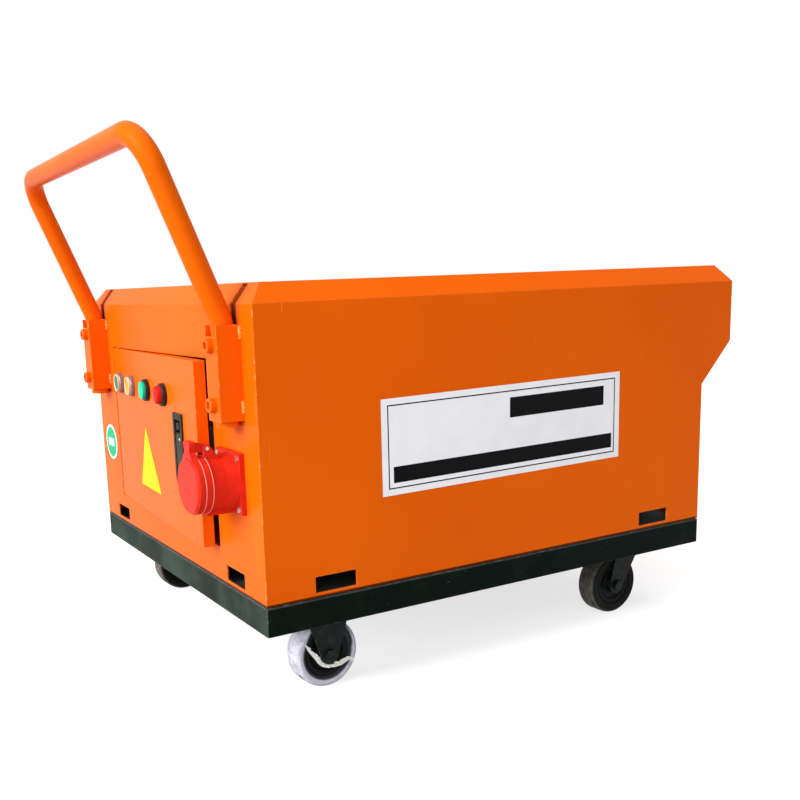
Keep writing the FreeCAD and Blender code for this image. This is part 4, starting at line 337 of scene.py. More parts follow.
def tyre_rubber(name, road, cover):
    """Black rubber whose tread, marked by an attribute, is covered by road dust or a film."""
    tyre = Finish(name)
    tread = tyre.node("ShaderNodeAttribute", {"attribute_name": "tread"}, {}, "Fac")
    grit = tyre.noise(0.01, 5)
    # The cover is thinner where the tread faces -X, so the tread is darker on that side.
    pale_share = (grit.above(0.30, 0.62) * 0.35 + cover
            - (tyre.facing("X") * -1).above(0.0, 1.0) * 0.22)
    dusty = (tread * pale_share
             + (1 - tread) * (grit.above(0.5, 0.8) * 0.05 + cover * cover * 0.06))
    tyre.set(Base_Color=tyre.mix(dusty, RUBBER, road), Roughness=0.5 + dusty * 0.2,
             Specular_IOR_Level=0.05)
    return tyre.relief(tyre.noise(0.002, 3), 0.00015)


def hub_moulding():
    hub = Finish("hub_moulding")
    dust = hub.noise(0.012, 4).above(0.45, 0.8) * 0.4
    # Painted highlight: a paler line along the hub's edges.
    pale_share = hub.edges(0.0012).above(0.05, 0.2) * 0.6
    hub.set(Base_Color=hub.mix(pale_share, hub.mix(dust, HUB_BLACK, HUB_DUST), HUB_RIM_HIGHLIGHT),
            Roughness=0.35 + dust * 0.5, Specular_IOR_Level=0.06)
    return hub.relief(hub.noise(0.002, 2), 0.00005)


road_tyre = tyre_rubber("tyre_rubber", ROAD_DUST, 0.55)
wrapped_tyre = tyre_rubber("wrapped_tyre", WRAP_FILM, 0.80)
hub_finish = hub_moulding()
BOSS_PROUD = 0.001
SEAT_SHARE = 0.688
BORE_RADIUS = 0.00605
COVER_DEPTH = 0.0045
WRAP_DEPTH = 0.0100
WRAP_SHARE = ((0, 20, 60, 110, 150, 360), (1, 0.6, 0, 0, 1, 1))


def caster_wheel(node, rubber):
    """The wheel's box gives its centre, radius and width. The tyre is a rounded outline with
    wide shoulders, and the hub a dish between rim and boss, both carried round the axle. The
    film reaches down the wrapped tyre's near face by a share that changes round the wheel."""
    low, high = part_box(node)
    centre = (low + high) / 2
    radius = (high.z - low.z) / 2
    half = (high.y - low.y) / 2 - BOSS_PROUD
    seat = radius * SEAT_SHARE
    shoulder = [(radius - 0.013, 0.0008), (radius - 0.010, 0.0004), (radius - 0.006, 0.0),
                (radius, 0.006)]
    outline = ([(seat, 0.003 - half)] + [(off, along - half) for off, along in shoulder]
               + [(off, half - along) for off, along in reversed(shoulder)]
               + [(seat, half - 0.003)])
    tyre = lathe(f"{node}_tyre", rounded(outline, 0.004), centre)
    x, y, z = (np.array([v.co for v in tyre.data.vertices]) - np.array(centre)).T
    depth = COVER_DEPTH
    if rubber is wrapped_tyre:
        turn = np.degrees(np.arctan2(z, x)) % 360
        depth += WRAP_DEPTH * (y < 0) * np.interp(turn, *WRAP_SHARE)
    tread = tyre.data.attributes.new("tread", "FLOAT", "POINT")
    tread.data.foreach_set("value", np.clip((np.hypot(x, z) - radius + depth) / 0.003, 0, 1))
    dish = half - 0.010
    boss = half + BOSS_PROUD
    face = [(BORE_RADIUS, -boss), (0.016, -boss), (0.019, -dish), (0.031, -dish),
            (0.035, 0.004 - half), (seat, 0.004 - half), (seat, half - 0.004),
            (0.035, half - 0.004), (0.031, dish), (0.019, dish), (0.016, boss),
            (BORE_RADIUS, boss)]
    hub = lathe(f"{node}_hub", rounded(face, 0.0025), centre)
    for piece, finish in ((tyre, rubber), (hub, hub_finish)):
        dress(finish, piece.name)
        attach(piece, node)
    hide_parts(node)
    return centre, radius, half


MARK_TURN = math.radians(216)
MARK_RISE = 0.0009


def mould_mark(node, centre, radius, half):
    """A short black block left by the mould, a patch that lies on the tread beside its near
    edge. It rises from the tread at its rim and has a level top."""
    turn = MARK_TURN + np.linspace(-0.11, 0.11, 9)
    along = np.linspace(0.0070 - half, 0.0150 - half, 5)
    rise = np.sin(np.linspace(0, math.pi, 9))[:, None] * np.sin(np.linspace(0, math.pi, 5))
    level = radius - 0.0002 + MARK_RISE * np.abs(rise) ** 0.25
    x = centre.x + level * np.cos(turn)[:, None]
    z = centre.z + level * np.sin(turn)[:, None]
    y = np.repeat(centre.y + along[None, :], 9, axis=0)
    top = np.stack([x, y, z], axis=-1)
    under = top.copy()
    under[..., 0] -= 0.001 * np.cos(turn)[:, None]
    under[..., 2] -= 0.001 * np.sin(turn)[:, None]
    mark = skin(f"{node}_mark", np.concatenate([top, under[:, ::-1]], axis=1))
    dress(hub_finish, mark.name)
    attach(mark, node)


for node in ("wheel_fixed_near", "wheel_fixed_far", "wheel_swivel_near", "wheel_swivel_far"):
    wheel_place = caster_wheel(node, wrapped_tyre if node == "wheel_fixed_near" else road_tyre)
    mould_mark(node, *wheel_place)

# A torn strip of white packing film still clings to the face of the near fixed wheel, from its
# tread down round the hub and out again. Its path is (millimetres from the axle, degrees).
FILM_PATH = ((53, 150), (47, 156), (41, 163), (35, 171), (29, 184), (26, 200), (25, 218),
             (25, 240), (26, 262), (28, 284), (33, 302), (39, 317), (45, 331), (50, 341),
             (53, 341), (57, 338), (60.5, 332))
FILM_STEPS = 90
FILM_THICKNESS = 0.0003
FILM_WHITE = (0.98, 1.0, 0.96)
FILM_GREY = (0.84, 0.86, 0.80)


def packing_film():
    """Rows along the path, each with a lower and an upper edge and the same a thickness behind.
    The width is a draw that holds for five rows plus a smaller one for each."""
    low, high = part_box("wheel_fixed_near")
    centre = (low + high) / 2
    radius, angle = np.array(FILM_PATH, float).T
    along = np.linspace(0, len(radius) - 1, FILM_STEPS)
    knots = np.arange(len(radius))
    radius = np.interp(along, knots, radius) * 0.001
    angle = np.radians(np.interp(along, knots, angle))
    tears = np.random.default_rng(5).uniform(0.0, 1.0, FILM_STEPS)
    width = 0.0048 + 0.0085 * np.repeat(tears[::5], 5) + 0.0015 * tears
    width *= np.clip(np.minimum(along, along[-1] - along) * 1.5 + 0.2, 0, 1)
    crease = low.y + 0.0006 + 0.0004 * np.sin(along * 5)
    rows = [np.stack([centre.x + reach * np.cos(angle), crease + depth,
                      centre.z + reach * np.sin(angle)], axis=-1)
            for reach, depth in ((radius, 0.0), (radius - width, 0.0),
                                 (radius - width, FILM_THICKNESS), (radius, FILM_THICKNESS))]
    strip = skin("packing_film", np.stack(rows, axis=1))
    strip.data.shade_flat()
    film = Finish("packing_film")
    film.set(Base_Color=film.mix(film.noise(0.004, 2).above(0.35, 0.7), FILM_WHITE, FILM_GREY),
             Roughness=0.4, Specular_IOR_Level=0.2)
    dress(film, strip.name)
    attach(strip, "wheel_fixed_near")


packing_film()

# The body is folded 3 mm sheet, sprayed inside and out with a gloss orange that has a fine orange
# peel, soft waves in its wide faces, handling scratches, and chips down to primer on its edges.
ORANGE = (0.84, 0.128, 0.0012)
ORANGE_DEEP = (0.79, 0.112, 0.0010)
ORANGE_PALE = (0.88, 0.165, 0.010)
# The rim colour is a painted highlight, and the foot colour a painted shadow.
ORANGE_RIM_HIGHLIGHT = (0.95, 0.28, 0.07)
FOOT_SHADOW = (0.050, 0.004, 0.001)
CHIPPED = (0.95, 0.42, 0.15)


def orange_gloss():
    """Broad and small clouds of darker and paler tone, a painted highlight line on each edge,
    scratches and chips, and a painted shadow line along the foot of the panels."""
    paint = Finish("orange_gloss")
    broad = paint.noise(0.45, 2)
    cloud = paint.noise(0.06, 4)
    # Painted highlight: a paler line along every edge.
    rim = paint.edges(0.0020).above(0.0292, 0.0833)
    chips = paint.edges(0.0032).above(0.0333, 0.1) * paint.noise(0.009, 4).above(0.56, 0.60)
    scratch = (paint.noise(0.006, 2, (1, 1, 26), (3, 1, 7)).above(0.71, 0.74)
               * paint.noise(0.12, 2, shift=(5, 2, 1)).above(0.58, 0.7))
    # Painted shadow: a dark line along the foot of the panels.
    foot = paint.part("Z").below(FRAME_TOP + 0.0050, FRAME_TOP + 0.0060) * 0.9
    shade = paint.mix(broad.above(0.35, 0.65), ORANGE_DEEP, ORANGE)
    shade = paint.mix(cloud.above(0.5, 0.8) * 0.14, shade, ORANGE_PALE)
    shade = paint.mix(rim * 0.35, shade, ORANGE_RIM_HIGHLIGHT)
    shade = paint.mix(scratch * 0.30 + chips * 0.75, shade, CHIPPED)
    shade = paint.mix(foot, shade, FOOT_SHADOW)
    paint.set(Base_Color=shade, Roughness=0.24 + cloud * 0.14 + chips * 0.2,
              Specular_IOR_Level=0.035)
    waves = broad * 0.97 + paint.noise(0.0022, 2) * 0.03
    return paint.relief(waves, 0.004, 0.0018)


dress(orange_gloss(), "side_panel_near", "side_panel_far", "hopper_end_panel",
      "control_end_panel", "corner_angles", "top_bridge", "cover_ledge", "motor_cover",
      "hopper_grate", "hopper_bin", "control_cabinet", "door_panel", "handle_brackets",
      "handle_bolts", "push_handle")

# The handle's brackets are welded to the wall with two short beads down each side, near the top
# and the foot, painted over with the body and painted paler as highlights. Above each, the bend at
# the wall's top has a relief slot, and thin strips behind the slot show the inside paint, darkened
# as painted shade.
BEAD_RADIUS = 0.0042
BEAD_HEIGHTS = ((0.437, 0.459), (0.317, 0.339))
BEAD_DROPS = 6
BEAD_BACK = 0.0012
# The bead colours are paler than the body's as painted highlight.
BEAD_ORANGE_LIT = (0.90, 0.20, 0.020)
BEAD_HIGHLIGHT = (0.96, 0.36, 0.10)
BRACKET_WIDTH = 0.048
NOTCH_BACK = 0.0045
NOTCH_HALF = 0.016
# The inside orange with painted shade: darkest low in the slot.
NOTCH_SHADOW_RED = (0.080, 0.005, 0.001)
NOTCH_SHADED_ORANGE = (0.30, 0.055, 0.003)
NOTCH_SHADED_CLOUD = (0.16, 0.014, 0.001)
RIM_RISE = 0.033
RIM_INSET = 0.0255
LINING_SHARE = 0.85
LINING_SHEET = 0.0008
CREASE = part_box("control_end_panel")[1].z - RIM_RISE
wall_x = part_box("control_end_panel")[0].x
bracket_low, bracket_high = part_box("handle_brackets")


def bead_paint_lit():
    """The body's colour where it pooled over the weld, glossier, and painted paler in clouds as
    the highlights on its lumps.
    """
    paint = Finish("bead_paint_lit")
    cloud = paint.noise(0.004, 3)
    paint.set(Base_Color=paint.mix(cloud.above(0.35, 0.65), BEAD_ORANGE_LIT, BEAD_HIGHLIGHT),
              Roughness=0.2 + cloud * 0.1, Specular_IOR_Level=0.15)
    return paint.relief(paint.noise(0.002, 2), 0.0002)


def weld_bead(name, x, y, low, high, finish):
    """A rippled tube along Z: its radius swells and dips once for each drop of weld, and it
    leans a little from side to side."""
    share = np.linspace(0, 1, 40)
    swell = 0.80 + 0.20 * np.abs(np.sin(math.pi * BEAD_DROPS * share))
    swell *= np.clip(np.minimum(share, 1 - share) * 8 + 0.45, 0, 1)
    turn = np.linspace(0, 2 * math.pi, 16, endpoint=False)
    lean = 0.0006 * np.sin(share * 23)
    grid = np.stack([x + BEAD_RADIUS * 0.8 * swell[:, None] * np.cos(turn),
                     y + lean[:, None] + BEAD_RADIUS * swell[:, None] * np.sin(turn),
                     np.repeat((low + (high - low) * share)[:, None], 16, axis=1)], axis=-1)
    bead = skin(name, grid)
    dress(finish, name)
    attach(bead, "frame")


def notch_shade():
    """The inside paint behind a notch, with painted shade: dark red low down in the slot, and
    lighter up the slope.
    """
    paint = Finish("notch_paint_shaded")
    cloud = paint.noise(0.012, 3).above(0.45, 0.75) * 0.3
    # Painted shade: darker low in the slot, lighter up the slope.
    high = paint.part("Z").above(CREASE - 0.030, CREASE + 0.006)
    shade = paint.mix(high, NOTCH_SHADOW_RED, NOTCH_SHADED_ORANGE)
    paint.set(Base_Color=paint.mix(cloud, shade, NOTCH_SHADED_CLOUD), Roughness=0.5,
              Specular_IOR_Level=0.03)
    return paint


def flat_sheet(name, corners, outward, thickness):
    """A thin sheet with straight or curved edges: its outline laid down twice, a thickness
    apart, with both faces closed from their middle. An outline that runs the wrong way round
    for its faces to point out is turned over."""
    outline = np.array(corners, float)
    normal = np.array(outward, float)
    turn = np.cross(np.roll(outline, -1, axis=0) - outline[0], outline - outline[0]).sum(axis=0)
    if turn @ normal > 0:
        outline = outline[::-1]
    piece = skin(name, np.stack([outline, outline + normal * thickness]))
    piece.data.shade_flat()
    return piece


def notch_lining(name, y, finish):
    """Two thin strips: one upright as far as the crease, and one that follows the slope."""
    back, near, far = wall_x + NOTCH_BACK, y - NOTCH_HALF, y + NOTCH_HALF
    foot = bracket_high.z - 0.006
    top_x, top_z = back + LINING_SHARE * RIM_INSET, CREASE + LINING_SHARE * RIM_RISE
    strips = {
        "upright": [(back, near, foot), (back, far, foot), (back, far, CREASE),
                    (back, near, CREASE)],
        "slope": [(back, near, CREASE), (back, far, CREASE), (top_x, far, top_z),
                  (top_x, near, top_z)],
    }
    for part, corners in strips.items():
        strip = flat_sheet(f"{name}_{part}", corners, (-1, 0, 0), LINING_SHEET)
        dress(finish, strip.name)
        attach(strip, "frame")


bead_finish = bead_paint_lit()
notch_finish = notch_shade()
for side, edge, inward in (("near", bracket_low.y, 1), ("far", bracket_high.y, -1)):
    notch_lining(f"notch_{side}", edge + inward * BRACKET_WIDTH / 2, notch_finish)
for side, edge, inward in (("near", bracket_low.y, 1), ("far", bracket_high.y, -1)):
    for flank, y in (("outer", edge), ("inner", edge + inward * BRACKET_WIDTH)):
        for place, (low, high) in zip(("top", "foot"), BEAD_HEIGHTS):
            weld_bead(f"bead_{side}_{flank}_{place}", wall_x - BEAD_BACK, y, FRAME_TOP + low,
                      FRAME_TOP + high, bead_finish)

# The feed screw, its barrel and the outlet are steel and iron castings: machined where they meet
# and in the bore, raw and darker outside, and polished by concrete on the flight's edge.
STEEL_BRIGHT = (0.45, 0.43, 0.40)
STEEL_BROWN = (0.27, 0.24, 0.21)
IRON_DARK = (0.14, 0.14, 0.145)
IRON_PALE = (0.23, 0.225, 0.22)


def worn_steel():
    steel = Finish("worn_steel")
    cloud = steel.noise(0.03, 5)
    steel.set(Base_Color=steel.mix(cloud.above(0.4, 0.7), STEEL_BRIGHT, STEEL_BROWN),
              Roughness=0.25 + cloud * 0.35, Metallic=1.0)
    return steel.relief(steel.noise(0.001, 3, (1, 8, 8)), 0.00004, 0.001)


def grey_casting():
    iron = Finish("grey_casting")
    cloud = iron.noise(0.02, 5)
    iron.set(Base_Color=iron.mix(cloud.above(0.35, 0.7), IRON_DARK, IRON_PALE),
             Roughness=0.42 + cloud * 0.25, Metallic=0.85)
    return iron.relief(iron.noise(0.0025, 4), 0.0003, 0.0015)


dress(worn_steel(), "feed_screw", "motor_rotor")
dress(grey_casting(), "delivery_barrel", "outlet_reducer", "bearing_housing")

# The drive is a cast gear unit and a ribbed flange motor with a pressed fan cowl, all in the
# makers' blue-grey machine enamel, with a little dust on what faces up.
MACHINE_BLUE = (0.045, 0.085, 0.125)
MACHINE_DUST = (0.30, 0.30, 0.28)


def machine_enamel():
    paint = Finish("machine_enamel")
    cloud = paint.noise(0.03, 4)
    dust = paint.facing("Z").above(0.2, 1.0) * (0.2 + cloud * 0.4)
    paint.set(Base_Color=paint.mix(dust, MACHINE_BLUE, MACHINE_DUST),
              Roughness=0.38 + cloud * 0.2, Coat_Weight=0.15)
    return paint.relief(paint.noise(0.004, 3), 0.0002, 0.0015)


dress(machine_enamel(), "motor_housing", "fan_cowl", "terminal_box", "gear_unit")

# Behind the door: a galvanised back plate that carries contactors, a breaker and a terminal strip
# in light grey mouldings, with brass contact pins in the power inlet.
SPANGLE_SCALE = 90.0
SPANGLE_DARK = (0.50, 0.52, 0.53)
SPANGLE_PALE = (0.66, 0.68, 0.69)
SWITCH_GREY = (0.56, 0.57, 0.55)
BRASS_BRIGHT = (0.78, 0.60, 0.27)
BRASS_DULL = (0.62, 0.45, 0.18)


def galvanised():
    sheet = Finish("galvanised")
    spangle = sheet.node("ShaderNodeTexVoronoi", {"feature": "F1"},
                         {"Vector": sheet.place, "Scale": SPANGLE_SCALE}, "Color")
    tint = sheet.node("ShaderNodeSeparateColor", {}, {0: spangle})
    sheet.set(Base_Color=sheet.mix(tint, SPANGLE_DARK, SPANGLE_PALE),
              Roughness=0.32 + tint * 0.15, Metallic=0.9)
    return sheet.relief(sheet.noise(0.004, 2), 0.00003, 0.0008)


def moulding(name, colour, roughness, grain=0.00006):
    """A moulded plastic in faint clouds of one colour, with a fine grain."""
    plastic = Finish(name)
    cloud = plastic.noise(0.03, 3)
    deep = tuple(0.86 * channel for channel in colour)
    plastic.set(Base_Color=plastic.mix(cloud.above(0.3, 0.7), deep, colour),
                Roughness=roughness + cloud * 0.12, Specular_IOR_Level=0.035)
    return plastic.relief(plastic.noise(0.0009, 2), grain, 0.0008)


def bright_brass():
    brass = Finish("bright_brass")
    cloud = brass.noise(0.006, 3)
    brass.set(Base_Color=brass.mix(cloud, BRASS_BRIGHT, BRASS_DULL),
              Roughness=0.2 + cloud * 0.2, Metallic=1.0)
    return brass.relief(brass.noise(0.001, 2), 0.00002, 0.0005)


dress(galvanised(), "mounting_plate")
dress(moulding("switch_moulding", SWITCH_GREY, 0.45), "contactors", "motor_breaker",
      "terminal_strip")
dress(bright_brass(), "inlet_pins")

# Two pilot lamps and two push buttons sit in a row across the door, each in a round bezel that
# clamps through the sheet. The lamps have bright metal bezels with a cream ring round a lens, and
# the buttons black ones with domed caps, each on a stem that runs in the bezel's bore.
DOOR_AJAR = math.radians(3.2)
OUTWARD = (-math.cos(DOOR_AJAR), math.sin(DOOR_AJAR), 0)
BEZEL_BLACK = (0.020, 0.017, 0.014)
BEZEL_BRIGHT = (0.33, 0.23, 0.20)
BEZEL_DULL = (0.21, 0.14, 0.12)
LAMP_SIDE = (0.106, 0.108)
CREAM = (0.66, 0.60, 0.45)
LENS_RADIUS = 0.0163
LENS_SINK = 0.0022
LENS_CROWN = 0.0019
RING_OUTLINE = ((0.0162, -0.0040), (0.0190, -0.0040), (0.0190, 0.0002), (0.0176, 0.0006),
                (0.0162, -0.0006))
LAMPS = (("green_lamp", (0.055, 0.235, 0.120)), ("yellow_lamp", (0.800, 0.330, 0.012)))
STEM_RADIUS = 0.0055
STEM_LENGTH = 0.006
CAP_CHAMFER = 0.002
BUTTONS = (("green_button", (0.010, 0.62, 0.33), 0.0092, 0.0012),
           ("red_button", (0.66, 0.020, 0.012), 0.0152, 0.0045))


def operator_bezels():
    """Bright metal round the lamps, which sit on the far half of the door, and black on the
    rest."""
    bezel = Finish("operator_bezels")
    cloud = bezel.noise(0.01, 3)
    lamp_side = bezel.part("Y").above(*LAMP_SIDE)
    metal = bezel.mix(cloud, BEZEL_BRIGHT, BEZEL_DULL)
    bezel.set(Base_Color=bezel.mix(lamp_side, BEZEL_BLACK, metal), Metallic=lamp_side * 0.45,
              Roughness=0.30 + cloud * 0.2, Specular_IOR_Level=0.15)
    return bezel.relief(bezel.noise(0.001, 2), 0.00003, 0.0008)


def front_of(node, radius):
    """The middle of a round operator's front, which is as far out as its box less its tilt."""
    low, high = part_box(node)
    middle = (low + high) / 2
    x = low.x + radius * math.sin(DOOR_AJAR)
    return Vector((x, middle.y + math.tan(DOOR_AJAR) * (middle.x - x), middle.z))


def dome(radius, crown, sink, start, steps):
    """A quarter of an ellipse from near the rim to near the axis, crown high, its foot sunk."""
    return [(radius * math.cos(turn), crown * math.sin(turn) - sink)
            for turn in np.linspace(start, 1.54, steps)]


dress(operator_bezels(), "operator_bodies")
cream = moulding("cream_ring", CREAM, 0.3)
for node, colour in LAMPS:
    low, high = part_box(node)
    front = front_of(node, (high.z - low.z) / 2)
    ring = lathe(f"{node}_ring", rounded(RING_OUTLINE, 0.0005), front, OUTWARD)
    profile = [(0.0003, -0.0085), (0.0155, -0.0085), (LENS_RADIUS, -0.0080),
               (LENS_RADIUS, -LENS_SINK)] + dome(LENS_RADIUS, LENS_CROWN, LENS_SINK, 0.12, 10)
    lens = lathe(f"{node}_lens", profile, front, OUTWARD, ring=False)
    tinted = moulding(f"{node}_lens", colour, 0.16, 0.0)
    for piece, finish, slot in ((ring, cream, "switch_plastic"),
                                (lens, tinted, node.replace("lamp", "lens"))):
        dress(finish, piece.name)
        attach(piece, "door")
    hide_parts(node)
for node, colour, length, crown in BUTTONS:
    low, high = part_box(node)
    radius = (high.z - low.z) / 2 - 0.0002
    front = front_of(node, radius)
    front.y = (low.y + high.y) / 2 + math.sin(DOOR_AJAR) * (length + CAP_CHAMFER) / 2
    foot = -length - STEM_LENGTH
    profile = [(0.0003, foot), (STEM_RADIUS, foot), (STEM_RADIUS, -length),
               (radius - 0.0006, -length), (radius, 0.0006 - length),
               (radius, -crown - 0.0008)] + dome(radius - 0.0004, crown, crown, 0.1, 12)
    cap = lathe(f"{node}_cap", profile, front, OUTWARD, ring=False)
    dress(moulding(f"{node}_cap", colour, 0.2, 0.0), cap.name)
    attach(cap, node)
    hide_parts(node)

# The door latch is a black moulded swing handle set in the sheet, with a grey-green die-cast
# lever on a cross pin, held by a bright screw near its top. The handle's and lever's edges carry
# a painted highlight, and the screw's near-white head is a painted glint.
LATCH_BLACK = (0.016, 0.014, 0.010)
# These paler colours are painted highlights along the edges.
LATCH_EDGE_HIGHLIGHT = (0.30, 0.28, 0.24)
LEVER_GREY = (0.028, 0.026, 0.017)
LEVER_EDGE_HIGHLIGHT = (0.20, 0.19, 0.15)
# The screw's near-white is a painted glint.
SCREW_GLINT_WHITE = (0.80, 0.78, 0.70)
SCREW_ASIDE = 0.008
SCREW_DOWN = 0.011


def edge_lit_casting(name, colour, highlight_colour):
    """A dark coat with its edges painted paler in clouds, as a painted highlight."""
    coat = Finish(name)
    cloud = coat.noise(0.02, 3)
    # Painted highlight along the edges, paler in clouds.
    edge_highlight = coat.edges(0.0012).above(0.05, 0.2) * (0.3 + cloud * 0.5)
    faded = tuple(1.5 * channel for channel in colour)
    shade = coat.mix(cloud.above(0.4, 0.7) * 0.5, colour, faded)
    coat.set(Base_Color=coat.mix(edge_highlight, shade, highlight_colour), Roughness=0.38 + cloud * 0.15,
             Specular_IOR_Level=0.06)
    return coat.relief(coat.noise(0.0009, 2), 0.00006, 0.0008)


def lever_screw():
    """A low domed head on the lever's face, which leans out with the door. Its near-white colour
    is a painted glint.
    """
    low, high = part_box("latch_lever")
    y = (low.y + high.y) / 2 - SCREW_ASIDE
    place = (low.x + math.tan(DOOR_AJAR) * (y - low.y), y, high.z - SCREW_DOWN)
    head = [(0.0002, -0.0015), (0.0026, -0.0015), (0.0026, 0.0004), (0.0018, 0.0010),
            (0.0003, 0.0012)]
    screw = lathe("lever_screw", head, place, OUTWARD, ring=False, steps=24)
    dress(moulding("screw_glint", SCREW_GLINT_WHITE, 0.25), screw.name)
    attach(screw, "latch_lever")


dress(edge_lit_casting("latch_black", LATCH_BLACK, LATCH_EDGE_HIGHLIGHT), "door_latch")
dress(edge_lit_casting("lever_grey", LEVER_GREY, LEVER_EDGE_HIGHLIGHT), "latch_lever")
lever_screw()

# The power inlet is a bright red moulding: a round shroud on a square flange, with a sprung lid
# on a cross pin at its top, two fine raised rings round its mouth, pale rose as painted highlights
# on its edges, and four screws in the flange.
INLET_RED = (0.70, 0.026, 0.011)
# Painted highlight: the pale rose of the two rings round the mouth.
INLET_HIGHLIGHT_ROSE = (0.95, 0.36, 0.30)
INLET_PLACE = Vector((wall_x, 0.108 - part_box("side_panel_far")[1].y, FRAME_TOP + 0.199))
INLET_REACH = 0.070
RING_BACKS = (0.0014, 0.0138)
RIB_OUTLINE = ((0.0478, -0.0005), (0.0492, -0.0007), (0.0495, 0.0), (0.0492, 0.0007),
               (0.0478, 0.0005))

dress(moulding("inlet_red", INLET_RED, 0.22), "inlet_housing", "inlet_lid")
inlet_highlight_red = moulding("inlet_highlight_red", INLET_HIGHLIGHT_ROSE, 0.25)
for number, back in enumerate(RING_BACKS):
    mouth = INLET_PLACE - Vector((INLET_REACH - back, 0, 0))
    ring = lathe(f"inlet_ring_{number}", RIB_OUTLINE, mouth, (1, 0, 0))
    dress(inlet_highlight_red, ring.name)
    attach(ring, "frame")

# The rating label on the near side is a white laminated sheet with a thin black border line, a
# black block at its upper right and a black band along its foot. It is stuck to the flat panel.
LABEL_X = (-0.278, 0.273)
LABEL_Z = (FRAME_TOP + 0.156, FRAME_TOP + 0.324)
LABEL_RISE = 0.006
LABEL_FILM = 0.0006
PRINT_FILM = 0.0001
SIDE_MARGIN = 0.0110
END_MARGIN = 0.0125
BORDER_LINE = 0.0022
LABEL_WHITE = (0.93, 0.93, 0.96)
LABEL_BLACK = (0.006, 0.006, 0.007)
near_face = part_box("side_panel_near")[0].y


def vinyl(name, colour):
    """A printed film in faint clouds of one colour, with slow ripples from being stuck down."""
    film = Finish(name)
    cloud = film.noise(0.05, 3)
    faded = tuple(0.95 * channel for channel in colour)
    film.set(Base_Color=film.mix(cloud.above(0.3, 0.8), colour, faded),
             Roughness=0.35 + cloud * 0.1, Specular_IOR_Level=0.03)
    return film.relief(film.noise(0.02, 2), 0.0002)


def on_near_side(x0, x1, z0, z1, step=0.0):
    """A block's corners on the label, which was stuck on a little askew and rises along its
    length."""
    slope = LABEL_RISE / (LABEL_X[1] - LABEL_X[0])
    return [(x, near_face - step, z + slope * (x - LABEL_X[0]))
            for x, z in ((x0, z0), (x1, z0), (x1, z1), (x0, z1))]


def side_label():
    """The sheet, then each printed block as a thinner film on its face."""
    x0, x1 = LABEL_X
    z0, z1 = LABEL_Z
    left, right = x0 + END_MARGIN, x1 - END_MARGIN
    low, high = z0 + SIDE_MARGIN, z1 - SIDE_MARGIN
    blocks = {
        "label_line_top": (left, right, high - BORDER_LINE, high),
        "label_line_low": (left, right, low, low + BORDER_LINE),
        "label_line_left": (left, left + BORDER_LINE, low, high),
        "label_line_right": (right - BORDER_LINE, right, low, high),
        "label_block": (x0 + 0.278, x1 - 0.042, z1 - 0.061, z1 - 0.024),
        "label_band": (x0 + 0.023, x1 - 0.020, z0 + 0.021, z0 + 0.0495),
    }
    sheet = flat_sheet("side_label", on_near_side(x0, x1, z0, z1), (0, -1, 0), LABEL_FILM)
    dress(white_vinyl, sheet.name)
    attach(sheet, "frame")
    for name, block in blocks.items():
        patch = flat_sheet(name, on_near_side(*block, LABEL_FILM), (0, -1, 0), PRINT_FILM)
        dress(black_print, patch.name)
        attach(patch, "frame")


white_vinyl = vinyl("label_white", LABEL_WHITE)
black_print = vinyl("label_black", LABEL_BLACK)
side_label()

# The control end has two plain vinyl stickers: a yellow triangle on the door below the lamps, and
# a round green one with a white rim and a pale bar on the wall beside the hinges.
TRIANGLE = ((0.084, 0.245), (0.139, 0.120), (0.000, 0.120))
TRIANGLE_YELLOW = (0.80, 0.68, 0.001)
DISC_PLACE = (0.368, 0.180)
DISC_RADIUS = 0.040
DISC_GREEN = (0.02, 0.42, 0.19)
GREEN_SHARE = 0.87
BAR_HALF = (0.020, 0.0085)
STICKER_FILM = 0.0004


def door_place(y, z, step=0.0):
    """A point on the door's outer sheet, which leans out towards its free edge."""
    low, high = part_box("door_panel")
    x = low.x + math.tan(DOOR_AJAR) * (y - low.y)
    return (x + OUTWARD[0] * step, y + OUTWARD[1] * step, FRAME_TOP + z)


def wall_place(across, up, step):
    """A point on the wall, counted from the round sticker's middle."""
    return (wall_x - step, DISC_PLACE[0] + across, FRAME_TOP + DISC_PLACE[1] + up)


def wall_disc(radius, step):
    """Points round a circle on the wall."""
    return [wall_place(radius * math.cos(turn), radius * math.sin(turn), step)
            for turn in np.linspace(0, 2 * math.pi, 64, endpoint=False)]


def wall_bar(half_width, half_height, step):
    """The corners of a level bar on the wall."""
    return [wall_place(across * half_width, up * half_height, step)
            for across, up in ((-1, -1), (1, -1), (1, 1), (-1, 1))]


WALL = (-1, 0, 0)
yellow_vinyl = vinyl("sticker_yellow", TRIANGLE_YELLOW)
green_vinyl = vinyl("sticker_green", DISC_GREEN)
for name, corners, outward, finish, slot, body in (
        ("door_triangle", [door_place(*corner, 0.0002) for corner in TRIANGLE], OUTWARD,
         yellow_vinyl, "yellow_lens", "door"),
        ("wall_disc_rim", wall_disc(DISC_RADIUS, 0.0), WALL, white_vinyl, "switch_plastic",
         "frame"),
        ("wall_disc", wall_disc(DISC_RADIUS * GREEN_SHARE, 0.0005), WALL, green_vinyl,
         "green_lens", "frame"),
        ("wall_disc_bar", wall_bar(*BAR_HALF, 0.0008), WALL, white_vinyl, "switch_plastic",
         "frame")):
    sticker = flat_sheet(name, corners, outward, STICKER_FILM)
    dress(finish, name)
    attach(sticker, body)

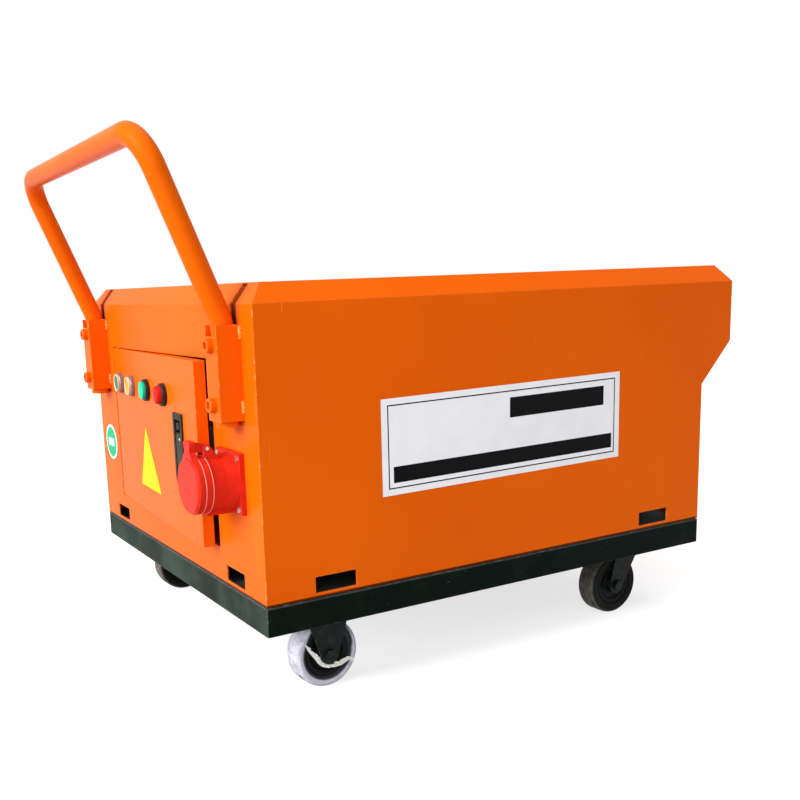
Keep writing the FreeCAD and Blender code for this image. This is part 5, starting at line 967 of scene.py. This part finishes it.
# The machine stands on a pale floor in front of nothing, in soft daylight from its control end
# and from a window behind the camera. The floor and the sky are seen as white, and light the
# machine less than they seem to.
FLOOR_REACH = 60.0
FLOOR_GLOW = 0.72
SKY_LIGHT = 0.31
WINDOW_PLACE = Vector((-2.2, -2.6, 1.5))
WINDOW_AIM = Vector((-0.2, 0.0, 0.4))
WINDOW_SIDE = 2.0
WINDOW_WATTS = 34
SUNS = (("key", (0.90, 0.03, -0.43), 38, 3.8), ("top", (0.0, 0.02, -1.0), 60, 1.2))


def seen(tree):
    """1 on the rays that show a thing, straight, mirrored or through glass, and 0 on those that
    it lights others with."""
    paths = tree.nodes.new("ShaderNodeLightPath")
    share = paths.outputs["Is Camera Ray"]
    for kind in ("Is Glossy Ray", "Is Transmission Ray"):
        either = tree.nodes.new("ShaderNodeMath")
        either.operation = "MAXIMUM"
        tree.links.new(share, either.inputs[0])
        tree.links.new(paths.outputs[kind], either.inputs[1])
        share = either.outputs[0]
    return share


def pale_floor():
    mesh = bpy.data.meshes.new("floor")
    corners = [(-FLOOR_REACH, -FLOOR_REACH, 0), (FLOOR_REACH, -FLOOR_REACH, 0),
               (FLOOR_REACH, FLOOR_REACH, 0), (-FLOOR_REACH, FLOOR_REACH, 0)]
    mesh.from_pydata(corners, [], [(0, 1, 2, 3)])
    floor = bpy.data.objects.new("floor", mesh)
    bpy.context.scene.collection.objects.link(floor)
    pale = Finish("floor_pale")
    pale.set(Base_Color=(0.50, 0.50, 0.50), Roughness=1.0, Specular_IOR_Level=0.0,
             Emission_Color=(1.0, 1.0, 1.0),
             Emission_Strength=Wire(pale, seen(pale.tree)) * FLOOR_GLOW)
    dress(pale, "floor")


def white_sky():
    world = bpy.data.worlds.new("daylight")
    bpy.context.scene.world = world
    world.use_nodes = True
    tree = world.node_tree
    sky = tree.nodes["Background"]
    sky.inputs["Color"].default_value = (1, 1, 1, 1)
    level = tree.nodes.new("ShaderNodeMapRange")
    level.inputs["To Min"].default_value = SKY_LIGHT
    level.inputs["To Max"].default_value = 1.0
    tree.links.new(seen(tree), level.inputs["Value"])
    tree.links.new(level.outputs[0], sky.inputs["Strength"])


def hang(lamp, towards):
    """Puts a lamp into the scene so that it shines in a direction."""
    light = bpy.data.objects.new(lamp.name, lamp)
    bpy.context.scene.collection.objects.link(light)
    light.rotation_euler = Vector(towards).to_track_quat("-Z", "Y").to_euler()
    return light


pale_floor()
white_sky()
window = bpy.data.lights.new("window", "AREA")
window.shape = "SQUARE"
window.size = WINDOW_SIDE
window.energy = WINDOW_WATTS
window_light = hang(window, WINDOW_AIM - WINDOW_PLACE)
window_light.location = WINDOW_PLACE
window_light.visible_camera = False
for name, towards, spread, power in SUNS:
    sun = bpy.data.lights.new(name, "SUN")
    sun.angle = math.radians(spread)
    sun.energy = power
    hang(sun, towards)
bpy.context.scene.view_settings.view_transform = "Standard"
